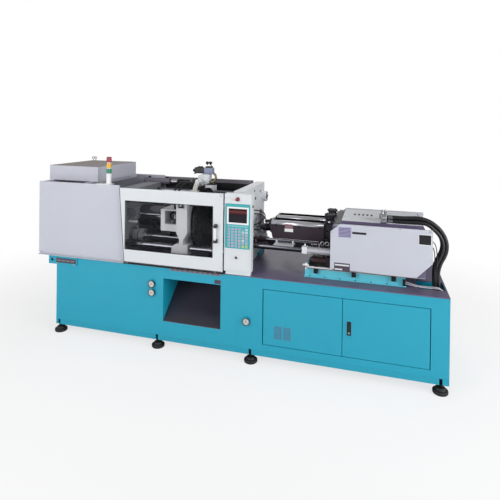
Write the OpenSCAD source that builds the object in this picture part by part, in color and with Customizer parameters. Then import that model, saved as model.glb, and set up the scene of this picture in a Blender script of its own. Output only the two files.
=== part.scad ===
// Two-colour injection moulding machine, horizontal, with a direct hydraulic clamp.
// The row runs along X with the clamp on the left. Stations are measured from the bed's left end,
// depths from the bed's front face and levels from the bed's underside.

/* [Bed] */
// Length of the bed
bed_l = 4500; // [4450:10:4600]
// Width of the bed
bed_w = 1200; // [1190:10:1260]
// Height of the bed from its underside to the deck
bed_h = 850; // [840:5:900]
// Height of the levelling feet under the bed
foot_h = 95; // [80:1:130]
// How far the clamp covers reach past the bed's left end
clamp_over = 270; // [250:5:290]
// Station where the clamp bed meets the injection bed
bed_split = 2340; // [2300:5:2390]
// Height of the base rails
rail_h = 62; // [50:1:80]
// Width of the base rails
rail_w = 140; // [120:5:200]
// Thickness of the deck plates
deck_t = 12; // [8:1:20]
// Thickness of the sheet that closes the bed
wall_t = 40; // [20:1:60]

/* [Feet] */
// Station of the first pair of feet
foot_x1 = 45; // [40:5:120]
// Station of the second pair of feet
foot_x2 = 1385; // [1200:5:1500]
// Station of the third pair of feet
foot_x3 = 2505; // [2420:5:2700]
// Distance of the last pair of feet from the bed's right end
foot_end = 75; // [70:1:200]
// Depth of the foot centres behind the bed's face
foot_inset = 40; // [40:1:80]
// Radius of the foot pads
pad_r = 74; // [60:1:80]
// Thickness of the foot pads
pad_t = 34; // [20:1:45]
// Radius of the levelling bolts
foot_bolt_r = 12; // [8:1:16]
// Width of the slots for the levelling bolts
foot_slot_w = 30; // [26:1:50]

/* [Chute bay] */
// Distance of the bay from the bed's split
bay_in = 180; // [160:5:200]
// Width of the bay
bay_w = 700; // [600:5:720]
// Level of the bay's lower edge
bay_z = 223; // [200:1:260]
// Height of the bay's mouth
bay_h = 493; // [400:1:540]
// Depth of the bay at the deck
bay_d = 760; // [700:5:900]
// Thickness of the chute sheet
chute_t = 5; // [3:0.5:8]
// Distance of the drop opening from the bay's left wall
drop_in = 320; // [300:5:390]
// Front depth of the drop opening
drop_y = 240; // [200:5:300]

/* [Cabinet] */
// Distance of the cabinet opening from the bed's split
cab_in = 300; // [260:5:360]
// Distance of the cabinet opening from the bed's right end
cab_end = 170; // [150:5:300]
// Level of the cabinet opening's lower edge
cab_z = 130; // [100:1:160]
// Height of the cabinet opening
cab_h = 600; // [500:1:640]
// Depth of the cabinet
cab_d = 460; // [300:5:600]
// Thickness of the cabinet doors
cab_door_t = 20; // [16:1:30]
// Gap around the cabinet doors
cab_gap = 6; // [5.5:0.1:8]
// Radius of the door hinge pins
hinge_pin_r = 5; // [4:0.5:6]
// Length of the hinge pins inside the doors
hinge_pin_l = 30; // [20:1:60]
// Width of each louvre panel
louvre_w = 73; // [50:1:90]
// Height of each louvre panel
louvre_h = 134; // [100:1:160]
// Width of the recessed door latch
latch_w = 42; // [30:1:60]
// Height of the recessed door latch
latch_h = 142; // [100:1:180]

/* [Clamp covers] */
// Thickness of the guard panels
panel_t = 20; // [16:1:25]
// Height above the deck of the top of the clamp covers
cover_h = 906; // [890:1:930]
// Station of the cover's top right corner
cover_x1 = 868; // [840:1:900]
// Station of the cover's bottom right corner
cover_x2 = 966; // [940:1:970]
// Height of the door track
track_h = 15; // [12:1:20]
// Height of the running strip of the door track
track_run_h = 8; // [6:0.5:10]
// Length of the raised housing on the clamp covers
top_l = 717; // [600:1:725]
// Depth of the raised housing behind the bed's face
top_y = 150; // [120:5:180]
// Width of the raised housing
top_w = 900; // [800:5:960]
// Height of the raised housing
top_h = 185; // [150:1:200]
// Height of the housing's cross beams
top_beam_h = 40; // [30:1:60]

/* [Front door] */
// Left station of the sliding door
door_x = 890; // [880:1:900]
// Lean of the sliding door's left edge at the foot
door_lean = 72; // [60:1:80]
// Width of the sliding door
door_w = 1297; // [1280:1:1299]
// Height above the deck of the door's top edge
door_top_h = 885; // [850:1:900]
// Clearance between the door and the covers behind it
door_gap = 12; // [10:0.5:14]
// Width of the door frame's left stile
stile_l = 78; // [70:1:90]
// Width of the door frame's right stile
stile_r = 115; // [100:1:130]
// Height of the door frame's sill
sill_h = 150; // [130:1:170]
// Height of the door frame's head
head_h = 144; // [120:1:160]
// Thickness of the window sheet
glass_t = 5; // [4:0.5:6]
// How far the window sheet laps behind the frame
glass_lap = 8; // [5:1:15]
// Travel of the sliding door
door_travel = 1100; // [900:10:1100]
// Radius of the door's wheels
wheel_r = 12; // [10:0.5:14]
// Distance of the handle from the door's right edge
handle_in = 77; // [60:1:90]
// Height above the deck of the handle's lower post
handle_h = 360; // [300:1:400]
// Distance between the handle's posts
handle_l = 165; // [120:1:200]
// How far the handle stands out
handle_out = 50; // [40:1:60]
// Radius of the handle's grip
grip_r = 10; // [8:0.5:12]

/* [Control column] */
// Gap between the closed door and the control column
col_gap = 15; // [12:1:20]
// Width of the control column
col_w = 306; // [300:1:330]
// Depth of the control column
col_d = 90; // [70:1:100]
// Height above the deck of the column's underside
col_foot_h = 39; // [30:1:50]
// Height above the deck of the column's top
col_h = 888; // [850:1:910]
// Width of the white bezel
bezel_w = 249; // [230:1:260]
// Height of the white bezel
bezel_h = 191; // [180:1:200]
// Height above the deck of the bezel's lower edge
bezel_up = 557; // [545:1:565]
// Width of the screen
screen_w = 208; // [190:1:215]
// Height of the screen
screen_h = 157; // [140:1:160]
// Height above the deck of the keypad field's lower edge
keypad_up = 293; // [270:1:300]
// Height of the teal field around screen and keys
keypad_h = 488; // [470:1:500]
// Number of key columns
key_cols = 6; // [4:1:6]
// Number of key rows
key_rows = 7; // [5:1:8]
// Pitch of the key columns
key_pitch_x = 40; // [36:1:42]
// Pitch of the key rows
key_pitch_z = 31; // [28:1:32]
// Size of a key
key_size = 22; // [16:1:24]

/* [Clamp] */
// Height above the deck of the clamp's centreline
axis_h = 450; // [445:1:460]
// Distance of the tie bars from the platens' sides
bar_in = 90; // [85:1:100]
// Vertical distance of the tie bars
bar_span_z = 540; // [520:5:550]
// Radius of the tie bars
bar_r = 40; // [35:0.5:42]
// Left face station of the cylinder platen
rear_x = 650; // [640:5:670]
// Thickness of the cylinder platen
rear_t = 210; // [180:5:220]
// Left face station of the fixed platen
fixed_x = 2262; // [2255:1:2280]
// Thickness of the fixed platen
fixed_t = 110; // [100:1:125]
// Gap between the bed's faces and the platens
platen_in = 110; // [100:1:120]
// Height above the deck of the fixed platen's top
platen_h = 895; // [880:5:910]
// Left face station of the moving platen
mov_x = 1560; // [1550:5:1570]
// Thickness of the moving platen
mov_t = 140; // [120:1:150]
// Height above the deck of the moving platen's top
mov_h = 820; // [810:1:830]
// Stroke of the moving platen each way
mov_stroke = 300; // [200:10:300]
// Radial clearance of sliding rods
slide_c = 0.5; // [0.3:0.1:1]
// Radius of the rotary table
table_r = 395; // [360:1:397]
// Thickness of the rotary table
table_t = 47; // [40:1:60]
// Radius of the rotary table's hub
hub_r = 120; // [90:1:130]
// Radius of the main ram
ram_r = 135; // [100:1:140]
// Radius of the main cylinder
main_r = 205; // [190:1:220]
// Left station of the main cylinder
main_x = -140; // [-160:5:-120]
// Left station of the side cylinders
side_x = 60; // [40:5:80]
// Right station of the side cylinders
side_x1 = 1050; // [1000:5:1060]
// Radius of the side cylinders
side_r = 55; // [45:1:60]
// Radius of the side cylinders' flanges
side_flange_r = 76; // [66:1:80]
// Radius of the side rods
side_rod_r = 20; // [15:0.5:25]
// Distance of the side cylinders from the tie bars
side_in = 105; // [98:1:115]
// Height above the deck of the side cylinders
side_h = 265; // [260:1:270]
// Radius of the guide rods
guide_r = 14; // [10:0.5:18]
// Distance of the guide rods from the tie bars
guide_in_y = 28; // [25:1:35]
// Height above the deck of the guide rods
guide_h = 545; // [540:1:550]
// Left station of the ejector box
eject_x = 1311; // [1305:1:1320]
// Radius of the locating bores
locate_r = 60; // [50:1:62]
// Radius of the mould bolt holes
mould_bolt_r = 8; // [6:0.5:10]
// Horizontal pitch of the mould bolt holes
mould_pitch_y = 140; // [120:5:160]
// Vertical pitch of the mould bolt holes
mould_pitch_z = 350; // [300:5:400]

/* [Injection] */
// Distance between the two barrels
barrel_span = 300; // [290:2:310]
// Station of the nozzle tips
nozzle_x = 2470; // [2465:1:2480]
// Radius of the nozzle tips
nozzle_r = 18; // [14:1:22]
// Radius of the barrels
barrel_r = 45; // [40:1:50]
// Left station of the heater covers
heat_x = 2620; // [2610:5:2640]
// Right station of the heater covers
heat_x1 = 3245; // [3220:5:3260]
// Width of the heater covers
heat_w = 205; // [190:1:220]
// Height of the heater covers
heat_h = 205; // [190:1:220]
// Travel of the injection carriage
carriage_travel = 150; // [100:5:150]
// Left station of the injection base
base_x = 3065; // [3040:5:3080]
// Right station of the injection base
base_x1 = 4100; // [4080:5:4120]
// Depth of the injection base behind the bed's face
base_y = 190; // [180:5:220]
// Height of the injection base
base_h = 105; // [95:1:110]
// Depth of the front injection cover
inj_y = 100; // [90:5:120]
// Height above the deck of the injection covers' lower edge
inj_foot_h = 126; // [120:1:135]
// Height above the deck of the injection housing's top
inj_h = 625; // [615:1:640]
// Radius of the traverse rods
trav_rod_r = 16; // [12:1:20]
// Radius of the traverse cylinders
trav_r = 33; // [28:1:40]
// Depth of the traverse cylinders behind the bed's face
trav_y = 180; // [170:1:190]
// Height above the deck of the traverse cylinders
trav_h = 295; // [290:1:300]

/* [Rear guard] */
// Height above the deck of the rear guard's top
guard_h = 893; // [880:1:910]
// Right station of the rear guard
guard_x1 = 2190; // [2160:5:2250]

/* [Hidden] */
$fn = 48;

teal = [0.16, 0.66, 0.75];
pale = [0.80, 0.80, 0.84];
white = [0.90, 0.91, 0.91];
steel = [0.62, 0.62, 0.64];
dark = [0.12, 0.11, 0.13];
mauve = [0.43, 0.41, 0.45];

eps = 1;
x0 = -(bed_l - clamp_over) / 2;
y0 = -bed_w / 2;
z0 = foot_h;
mid_y = bed_w / 2;
cover_top = bed_h + cover_h;
door_top = bed_h + door_top_h;
handle_z = bed_h + handle_h;
col_z = bed_h + col_foot_h;
col_top = bed_h + col_h;
bezel_z = bed_h + bezel_up;
keypad_z = bed_h + keypad_up;
axis_z = bed_h + axis_h;
platen_top = bed_h + platen_h;
mov_top = bed_h + mov_h;
side_z = bed_h + side_h;
guide_z = bed_h + guide_h;
inj_z = bed_h + inj_foot_h;
inj_top = bed_h + inj_h;
trav_z = bed_h + trav_h;
guard_top = bed_h + guard_h;
deck_z = bed_h - deck_t;
bay_top = deck_z;
bay_x = bed_split - bay_in - bay_w;
drop_x = bay_x + drop_in;
bay_x1 = bay_x + bay_w;
cab_x = bed_split + cab_in;
cab_x1 = bed_l - cab_end;
cab_w = cab_x1 - cab_x;
cab_mid = cab_x + cab_w / 2;
door_x1 = door_x + door_w;
col_x = door_x1 + col_gap;
door_bottom = bed_h + track_h + 3;
handle_x = door_x1 - handle_in;
win_x = door_x + stile_l;
win_w = door_w - stile_l - stile_r;
win_z = door_bottom + sill_h;
win_h = door_top - head_h - win_z;
door_frame_t = 20;
door_back = -door_gap;
door_face = door_back - door_frame_t;
col_y = -20;
col_x1 = col_x + col_w;
platen_y = platen_in;
mov_x1 = mov_x + mov_t;
table_x = mov_x1 + 1;
table_x1 = table_x + table_t;
rear_x1 = rear_x + rear_t;
fixed_x1 = fixed_x + fixed_t;
nut_t = 58;
nut_r = 66;
carriage_z = bed_h + base_h;
foot_xs = [foot_x1, foot_x2, foot_x3, bed_l - foot_end];
bar_ys = [platen_y + bar_in, bed_w - platen_y - bar_in];
bar_zs = [axis_z - bar_span_z / 2, axis_z + bar_span_z / 2];
barrel_ys = [mid_y - barrel_span / 2, mid_y + barrel_span / 2];
side_ys = [bar_ys[0] + side_in, bar_ys[1] - side_in];
guide_ys = [bar_ys[0] + guide_in_y, bar_ys[1] - guide_in_y];
trav_ys = [trav_y, bed_w - trav_y];

// A box between two stations, two depths and two levels.
module slab(x, y, z) {
  translate([x0 + x[0], y0 + y[0], z0 + z[0]])
    cube([x[1] - x[0], y[1] - y[0], z[1] - z[0]]);
}

// A round bar along the machine between two stations.
module bar_x(x, y, z, r) {
  translate([x0 + x[0], y0 + y, z0 + z]) rotate([0, 90, 0]) cylinder(h = x[1] - x[0], r = r);
}

// A round bar from front to rear between two depths.
module bar_y(x, y, z, r) {
  translate([x0 + x, y0 + y[0], z0 + z]) rotate([-90, 0, 0]) cylinder(h = y[1] - y[0], r = r);
}

// An upright round bar between two levels.
module bar_z(x, y, z, r) {
  translate([x0 + x, y0 + y, z0 + z[0]]) cylinder(h = z[1] - z[0], r = r);
}

// A front view outline given as stations and levels, carried from one depth to another.
module front_plate(points, y) {
  translate([x0, y0 + y[1], z0]) rotate([90, 0, 0]) linear_extrude(y[1] - y[0]) polygon(points);
}

// An end view outline given as depths and levels, carried from one station to another.
module end_plate(points, x) {
  translate([x0 + x[0], y0, z0]) rotate([90, 0, 90]) linear_extrude(x[1] - x[0]) polygon(points);
}

// Repeats its children about the centre plane.
module both_sides() {
  children();
  mirror([0, 1, 0]) children();
}

// ---------- bed ----------

module clamp_bed() {
  color(teal) difference() {
    slab([0, bed_split], [0, bed_w], [rail_h, deck_z]);
    end_plate([[-eps, bay_z], [0, bay_z], [bay_d, bay_top], [bay_d, bay_top + eps],
      [wall_t, bay_top + eps], [wall_t, bay_z + bay_h], [-eps, bay_z + bay_h]], [bay_x, bay_x1]);
  }
}

module injection_bed() {
  color(teal) {
    difference() {
      slab([bed_split, bed_l], [0, bed_w], [rail_h, deck_z]);
      slab([cab_x, cab_x1], [-eps, cab_d], [cab_z, cab_z + cab_h]);
      slab([hose_slot_x, hose_slot_x1], [hose_slot_y, hose_slot_y1], [hose_pit_z, deck_z + eps]);
    }
    for (hx = [cab_x + cab_hinge_in, cab_x1 - cab_hinge_in]) {
      bar_z(hx, cab_nose_r, [cab_z - eps, cab_door_z[0] + hinge_pin_l - 1], hinge_pin_r);
      bar_z(hx, cab_nose_r, [cab_door_z[1] - hinge_pin_l + 1, cab_z + cab_h + eps], hinge_pin_r);
    }
  }
}

module base_rail() {
  difference() {
    slab([0, bed_l], [0, rail_w], [0, rail_h]);
    for (fx = foot_xs)
      slab([fx - foot_slot_w / 2, fx + foot_slot_w / 2],
        [-eps, foot_inset + foot_slot_w / 2], [-eps, rail_h + eps]);
  }
}

module base_rail_front() {
  color(teal) base_rail();
}

module base_rail_rear() {
  color(teal) mirror([0, 1, 0]) base_rail();
}

module levelling_feet() {
  color(dark) both_sides() for (fx = foot_xs) {
    bar_z(fx, foot_inset, [-foot_h, -foot_h + pad_t], pad_r);
    bar_z(fx, foot_inset, [-foot_h + pad_t, -foot_h + pad_t + 20], pad_r * 0.55);
    bar_z(fx, foot_inset, [-foot_h + pad_t + 20, rail_h - 4], foot_bolt_r);
    bar_z(fx, foot_inset, [-foot_nut_h, 0], foot_nut_r);
  }
}

foot_nut_h = 14;
foot_nut_r = 26;

lug_l = 406;
lug_h = 105;
lug_t = 16;
lug_x = -104;
lug_hole_r = 20;
lug_hole_x = -50;
lug_hole_z = bed_h - 50;

module lifting_lugs() {
  color(teal) both_sides() difference() {
    slab([lug_x, lug_x + lug_l], [-lug_t, 0], [bed_h - lug_h, bed_h]);
    bar_y(lug_hole_x, [-lug_t - eps, eps], lug_hole_z, lug_hole_r);
  }
}

hose_slot_x = 4215;
hose_slot_x1 = 4482;
hose_slot_y = 190;
hose_slot_y1 = 450;
hose_pit_z = cab_z + cab_h + 15;

module deck() {
  color(mauve) difference() {
    slab([0, bed_l], [0, bed_w], [deck_z, bed_h]);
    slab([drop_x, bay_x1], [drop_y, bay_d], [deck_z - eps, bed_h + eps]);
    slab([hose_slot_x, hose_slot_x1], [hose_slot_y, hose_slot_y1], [deck_z - eps, bed_h + eps]);
  }
}

chute_slope = atan2(bay_top - bay_z, bay_d);

module chute() {
  color(dark) end_plate([[0, bay_z], [bay_d, bay_top], [bay_d - chute_t / sin(chute_slope), bay_top],
    [0, bay_z + chute_t / cos(chute_slope)]], [bay_x, bay_x1]);
}

// ---------- cabinet doors ----------

cab_nose_r = cab_door_t / 2;
cab_door_w = cab_w / 2 - cab_gap * 1.5;
cab_door_z = [cab_z + cab_gap, cab_z + cab_h - cab_gap];
cab_hinge_in = cab_gap + cab_nose_r;

module cabinet_door(hinge_x, away) {
  difference() {
    union() {
      bar_z(hinge_x, cab_nose_r, cab_door_z, cab_nose_r);
      slab([min(hinge_x, hinge_x + away * (cab_door_w - cab_nose_r)),
        max(hinge_x, hinge_x + away * (cab_door_w - cab_nose_r))], [0, cab_door_t], cab_door_z);
    }
    for (zz = [[cab_door_z[0] - eps, cab_door_z[0] + hinge_pin_l],
        [cab_door_z[1] - hinge_pin_l, cab_door_z[1] + eps]])
      bar_z(hinge_x, cab_nose_r, zz, hinge_pin_r + 0.1);
  }
}

module cabinet_door_left() {
  color(teal) cabinet_door(cab_x + cab_hinge_in, 1);
}

module cabinet_door_right() {
  color(teal) cabinet_door(cab_x1 - cab_hinge_in, -1);
}

louvre_t = 2;
louvre_x = [cab_x + 136, cab_x + 235];
louvre_z = 211;
louvre_slots = 8;

module cabinet_louvres() {
  color(mauve) for (lx = louvre_x) difference() {
    slab([lx, lx + louvre_w], [-louvre_t, 0], [louvre_z, louvre_z + louvre_h]);
    for (i = [0 : louvre_slots - 1])
      slab([lx + 8, lx + louvre_w - 8], [-louvre_t - eps, eps],
        [louvre_z + (i + 0.7) * louvre_h / (louvre_slots + 0.8),
         louvre_z + (i + 1.2) * louvre_h / (louvre_slots + 0.8)]);
  }
}

latch_x = cab_mid + 46;
latch_z = 356;
latch_t = 2;

module cabinet_latch() {
  color(dark) difference() {
    slab([latch_x, latch_x + latch_w], [-latch_t, 0], [latch_z, latch_z + latch_h]);
    slab([latch_x + 9, latch_x + latch_w - 9], [-latch_t - eps, -latch_t / 2],
      [latch_z + 12, latch_z + latch_h - 12]);
  }
}

gauge_r = 42;
gauge_t = 26;
gauges = [[bay_x - 142, 642], [bay_x - 140, 543], [bed_split + 122, 358]];

module pressure_gauges() {
  color(dark) for (g = gauges) difference() {
    bar_y(g[0], [-gauge_t, 0], g[1], gauge_r);
    bar_y(g[0], [-gauge_t - eps, -gauge_t + 4], g[1], gauge_r - 5);
  }
}

// ---------- clamp covers ----------

track_x = door_x - door_travel - 40;

module door_rails() {
  color(dark) union() {
    door_track();
    door_header();
  }
}

module door_track() {
  end_plate([[door_face - 2, bed_h], [panel_t, bed_h], [panel_t, bed_h + track_h],
    [0, bed_h + track_h], [0, bed_h + track_run_h], [door_face - 2, bed_h + track_run_h]],
    [track_x, door_x1 + 8]);
}

cover_z = bed_h + track_h;

module side_cover() {
  front_plate([[-clamp_over, cover_z], [cover_x2, cover_z], [cover_x1, cover_top],
    [-clamp_over, cover_top]], [0, panel_t]);
}

module clamp_cover_front() {
  color(pale) side_cover();
}

module clamp_cover_rear() {
  color(pale) union() {
    mirror([0, 1, 0]) side_cover();
    slab([0, cover_x2], [bed_w - panel_t, bed_w], [bed_h, cover_z]);
  }
}

module clamp_cover_end() {
  color(pale) slab([-clamp_over, -clamp_over + panel_t], [panel_t, bed_w - panel_t],
    [cover_z, cover_top - top_beam_h]);
}

beam_w = 40;
beam_xs = [-clamp_over + 60, -clamp_over + top_l - 70];
top_x = -clamp_over + 28;
top_z = cover_top + 8;
eye_r = 16;
eye_t = 5;
eye_y = top_y + top_w - 20;
eye_stem = 22;

module top_housing() {
  color(pale) {
    slab([top_x, top_x + top_l], [top_y, top_y + top_w], [top_z, top_z + top_h]);
    for (bx = beam_xs)
      slab([bx, bx + beam_w], [panel_t, bed_w - panel_t], [cover_top - top_beam_h, top_z]);
    for (ex = [top_x + 20, top_x + 62]) {
      bar_z(ex, eye_y, [top_z + top_h, top_z + top_h + eye_stem], eye_t);
      translate([x0 + ex, y0 + eye_y, z0 + top_z + top_h + eye_stem + eye_r])
        rotate([90, 0, 0]) rotate_extrude() translate([eye_r, 0]) circle(r = eye_t);
    }
  }
}

lamp_x = 690;
lamp_y = 58;
lamp_r = 31;
lamp_plate_t = 8;
lamp_base_h = 125;
lamp_h = 58;
lamp_ring = 8;
lamp_z = cover_top + lamp_plate_t;

module tower_lamp() {
  color(white) {
    slab([lamp_x - 145, lamp_x + 50], [0, lamp_y + lamp_r + 4], [cover_top, lamp_z]);
    bar_z(lamp_x, lamp_y, [lamp_z, lamp_z + lamp_base_h], lamp_r);
  }
  for (level = [0 : 2]) color(lamp_colours[level]) lens(level);
}

lamp_colours = ["seagreen", "orange", "firebrick"];

module lens(level) {
  z = lamp_z + lamp_base_h + level * (lamp_h + lamp_ring);
  bar_z(lamp_x, lamp_y, [z, z + lamp_h], lamp_r);
  bar_z(lamp_x, lamp_y, [z + lamp_h, z + lamp_h + lamp_ring], lamp_r - 4);
}

// ---------- sliding door ----------

wheel_xs = [door_x + door_lean + 38, door_x1 - 90];
notch_w = 34;
notch_h = 20;
skin_t = 3;
wheel_z = bed_h + track_run_h + 0.3 + wheel_r;
header_z = door_top - 75;
header_h = 60;
groove_h = 20;
groove_d = 12;
guide_pin_r = 9;
guide_pin_x = door_x1 - 40;
guide_pin_z = header_z + header_h / 2;

module front_guard_door() {
  color(white) difference() {
    front_plate([[door_x, door_top], [door_x + door_lean, door_bottom], [door_x1, door_bottom],
      [door_x1, door_top]], [door_face, door_back]);
    slab([win_x, win_x + win_w], [door_face - eps, door_back + eps], [win_z, win_z + win_h]);
    for (wx = wheel_xs)
      slab([wx - notch_w / 2, wx + notch_w / 2], [door_face + skin_t, door_back - skin_t],
        [door_bottom - eps, door_bottom + notch_h]);
  }
}

module door_window() {
  color([0.75, 0.85, 0.88, 0.35]) slab([win_x - glass_lap, win_x + win_w + glass_lap],
    [door_back, door_back + glass_t], [win_z - glass_lap, win_z + win_h + glass_lap]);
}

module door_handle() {
  color(dark) handle();
}

module handle() {
  union() {
    for (hz = [handle_z, handle_z + handle_l])
      bar_y(handle_x, [door_face - handle_out, door_face], hz, grip_r + 5);
    bar_z(handle_x, door_face - handle_out + grip_r + 4, [handle_z, handle_z + handle_l], grip_r);
  }
}

module door_wheels() {
  color(steel) union() {
    for (wx = wheel_xs) {
      bar_y(wx, [door_face + skin_t + 2, door_back - skin_t - 2], wheel_z, wheel_r);
      bar_y(wx, [door_face + skin_t, door_back - skin_t], wheel_z, 4);
    }
    bar_y(guide_pin_x, [door_back, groove_d - 2], guide_pin_z, guide_pin_r);
  }
}

module door_header() {
  difference() {
    slab([cover_edge(header_z), col_x], [0, panel_t], [header_z, header_z + header_h]);
    slab([cover_x1 - 2, col_x + eps], [-eps, groove_d],
      [guide_pin_z - groove_h / 2, guide_pin_z + groove_h / 2]);
    front_plate([[cover_edge(header_z) - eps, header_z - eps], [cover_edge(header_z), header_z],
      [cover_edge(header_z + header_h), header_z + header_h],
      [cover_edge(header_z) - eps, header_z + header_h + eps]], [-eps, panel_t + eps]);
  }
}

// Station of the front cover's slanted edge at a level.
function cover_edge(z) = cover_x2 + (cover_x1 - cover_x2) * (z - cover_z) / (cover_top - cover_z);

// ---------- rear guard ----------

rear_stile = 60;

module rear_guard() {
  color(mauve) difference() {
    front_plate([[cover_x2, bed_h], [guard_x1, bed_h], [guard_x1, guard_top],
      [cover_edge(guard_top), guard_top], [cover_x2, cover_z]], [bed_w - panel_t, bed_w]);
    slab([win_x + rear_stile, win_x + win_w], [bed_w - panel_t - eps, bed_w + eps],
      [win_z, win_z + win_h]);
  }
  color(dark) translate([0, door_face, 0]) mirror([0, 1, 0]) handle();
}

module rear_guard_window() {
  color([0.75, 0.85, 0.88, 0.35]) slab([win_x + rear_stile - glass_lap, win_x + win_w + glass_lap],
    [bed_w - panel_t - glass_t, bed_w - panel_t], [win_z - glass_lap, win_z + win_h + glass_lap]);
}

// ---------- control column ----------

panel_left = 9;
panel_right = 12;
panel_plate_t = 3;
bezel_t = 5;
plinth_in = 12;

module control_column() {
  color(white) union() {
    slab([col_x, col_x1], [col_y, col_y + col_d], [col_z, col_top]);
    slab([col_x + plinth_in, col_x1 - plinth_in], [0, col_y + col_d - plinth_in],
      [bed_h, col_z]);
  }
}

module control_panel() {
  color(teal) difference() {
    union() {
      slab([col_x + panel_left, col_x1 - panel_right], [col_y - panel_plate_t, col_y],
        [keypad_z, keypad_z + keypad_h]);
      slab([col_mid - bezel_w / 2, col_mid + bezel_w / 2],
        [col_y - panel_plate_t - bezel_t, col_y - panel_plate_t], [bezel_z, bezel_z + bezel_h]);
    }
    slab([col_mid - screen_w / 2, col_mid + screen_w / 2],
      [col_y - panel_plate_t - bezel_t - eps, col_y - panel_plate_t],
      [screen_z, screen_z + screen_h]);
  }
}

col_mid = col_x + col_w / 2 + 2;
screen_z = bezel_z + (bezel_h - screen_h) / 2;
key_h = 2;
key_x = col_mid - (key_cols - 1) * key_pitch_x / 2;
key_z = keypad_z + 26;

module panel_keys() {
  color(pale) for (i = [0 : key_cols - 1]) for (j = [0 : key_rows - 1])
    slab([key_x + i * key_pitch_x - key_size / 2, key_x + i * key_pitch_x + key_size / 2],
      [col_y - panel_plate_t - key_h, col_y - panel_plate_t],
      [key_z + j * key_pitch_z - key_size / 2, key_z + j * key_pitch_z + key_size / 2]);
}

knobs = [[col_x + 150, col_top - 56, 20], [col_x + 138, keypad_z - 100, 10]];

module panel_knobs() {
  color("crimson") for (k = knobs) {
    bar_y(k[0], [col_y - 12, col_y], k[1], k[2] * 0.7);
    bar_y(k[0], [col_y - 26, col_y - 12], k[1], k[2]);
  }
}

// ---------- clamp unit ----------

module tie_bar_holes(x, r) {
  for (by = bar_ys) for (bz = bar_zs) bar_x([x[0] - eps, x[1] + eps], by, bz, r);
}

module fixed_platen() {
  color(white) difference() {
    slab([fixed_x, fixed_x1], [platen_y, bed_w - platen_y], [bed_h, platen_top]);
    tie_bar_holes([fixed_x, fixed_x1], bar_r + slide_c);
    for (by = barrel_ys) {
      bar_x([fixed_x - eps, fixed_x1 + eps], by, axis_z, locate_r);
      mould_holes(by, [fixed_x - eps, fixed_x + 60]);
    }
  }
}

module mould_holes(y, x) {
  for (i = [-0.5, 0.5]) for (j = [-0.5, 0.5])
    bar_x(x, y + i * mould_pitch_y, axis_z + j * mould_pitch_z, mould_bolt_r);
}

stop_l = 120;
stop_r = 14;
stop_z = guide_z - 105;
bush_l = 140;

block_l = 30;
block_w = 250;
block_h = 45;
block_in = 80;

module platen_blocks() {
  color(teal) both_sides()
    slab([fixed_x1, fixed_x1 + block_l],
      [platen_y + block_in, platen_y + block_in + block_w], [bed_h, bed_h + block_h]);
}

module rear_platen() {
  color(steel) difference() {
    union() {
      slab([rear_x, rear_x1], [platen_y, bed_w - platen_y], [bed_h, mov_top]);
      for (gy = guide_ys) {
        slab([rear_x1, rear_x1 + bush_l], [gy - 34, gy + 34], [guide_z - 60, guide_z + 70]);
        bar_x([rear_x1, rear_x1 + stop_l], gy, stop_z, stop_r);
      }
    }
    tie_bar_holes([rear_x, rear_x1], bar_r + slide_c);
    bar_x([rear_x - eps, rear_x1 + eps], mid_y, axis_z, ram_r + slide_c);
    for (sy = side_ys) bar_x([rear_x - eps, rear_x1 + eps], sy, side_z, side_r + slide_c);
    for (gy = guide_ys)
      bar_x([rear_x - eps, rear_x1 + bush_l + eps], gy, guide_z, guide_r + slide_c);
  }
}

module tie_bars() {
  color(steel) for (by = bar_ys) for (bz = bar_zs)
    bar_x([rear_x - nut_t, fixed_x1 + nut_t], by, bz, bar_r);
}

module tie_bar_nuts() {
  color(steel) for (by = bar_ys) for (bz = bar_zs) for (nx = [rear_x - nut_t, fixed_x1])
    difference() {
      bar_x([nx, nx + nut_t], by, bz, nut_r);
      bar_x([nx - eps, nx + nut_t + eps], by, bz, bar_r + slide_c);
    }
}

module clamp_cylinders() {
  color(teal) difference() {
    bar_x([main_x, rear_x], mid_y, axis_z, main_r);
    bar_x([main_x + main_cap, rear_x + eps], mid_y, axis_z, ram_r + slide_c);
  }
  color(steel) for (sy = side_ys) difference() {
    union() {
      bar_x([side_x, side_x1 - 30], sy, side_z, side_r);
      bar_x([rear_x1 + flange_in, side_x1], sy, side_z, side_flange_r);
    }
    bar_x([side_x + side_cap, side_x1 + eps], sy, side_z, side_rod_r + slide_c);
  }
}

main_cap = 30;
flange_in = 30;
side_cap = 15;
ram_in = 2 * mov_stroke;
rod_in = mov_stroke + 120;
guide_in = mov_stroke + 130;

module ram_and_rods() {
  color(steel) {
    bar_x([rear_x1 - ram_in, eject_x], mid_y, axis_z, ram_r);
    for (sy = side_ys) bar_x([side_x1 - rod_in, mov_x + neck_in], sy, side_z, side_rod_r);
    for (gy = guide_ys) bar_x([rear_x1 - guide_in, eject_x], gy, guide_z, guide_r);
  }
}

eject_y = 100;
eject_under = 90;
eject_over = 170;
eject_z = [axis_z - eject_under, axis_z + eject_over];
eject_plate = 53;
eject_base = 84;
eject_top = 15;

module ejector_box() {
  color(pale) union() {
    slab([eject_x, eject_x + eject_plate], [platen_y + eject_y, bed_w - platen_y - eject_y],
      eject_z);
    slab([eject_x + eject_plate, mov_x], [platen_y + eject_y, bed_w - platen_y - eject_y],
      [eject_z[0], eject_z[0] + eject_base]);
    slab([eject_x + eject_plate, mov_x], [platen_y + eject_y, bed_w - platen_y - eject_y],
      [eject_z[1] - eject_top, eject_z[1]]);
  }
}

shoe_l = 210;
shoe_w = 110;
shoe_under = 37;
shoe_over = 18;
shoe_z = bar_zs[0] - bar_r - shoe_under;
shoe_z1 = bar_zs[0] + bar_r + shoe_over;
neck_z = axis_z - 60;
neck_w = 50;
neck_in = 40;
neck_bow = 25;
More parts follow.
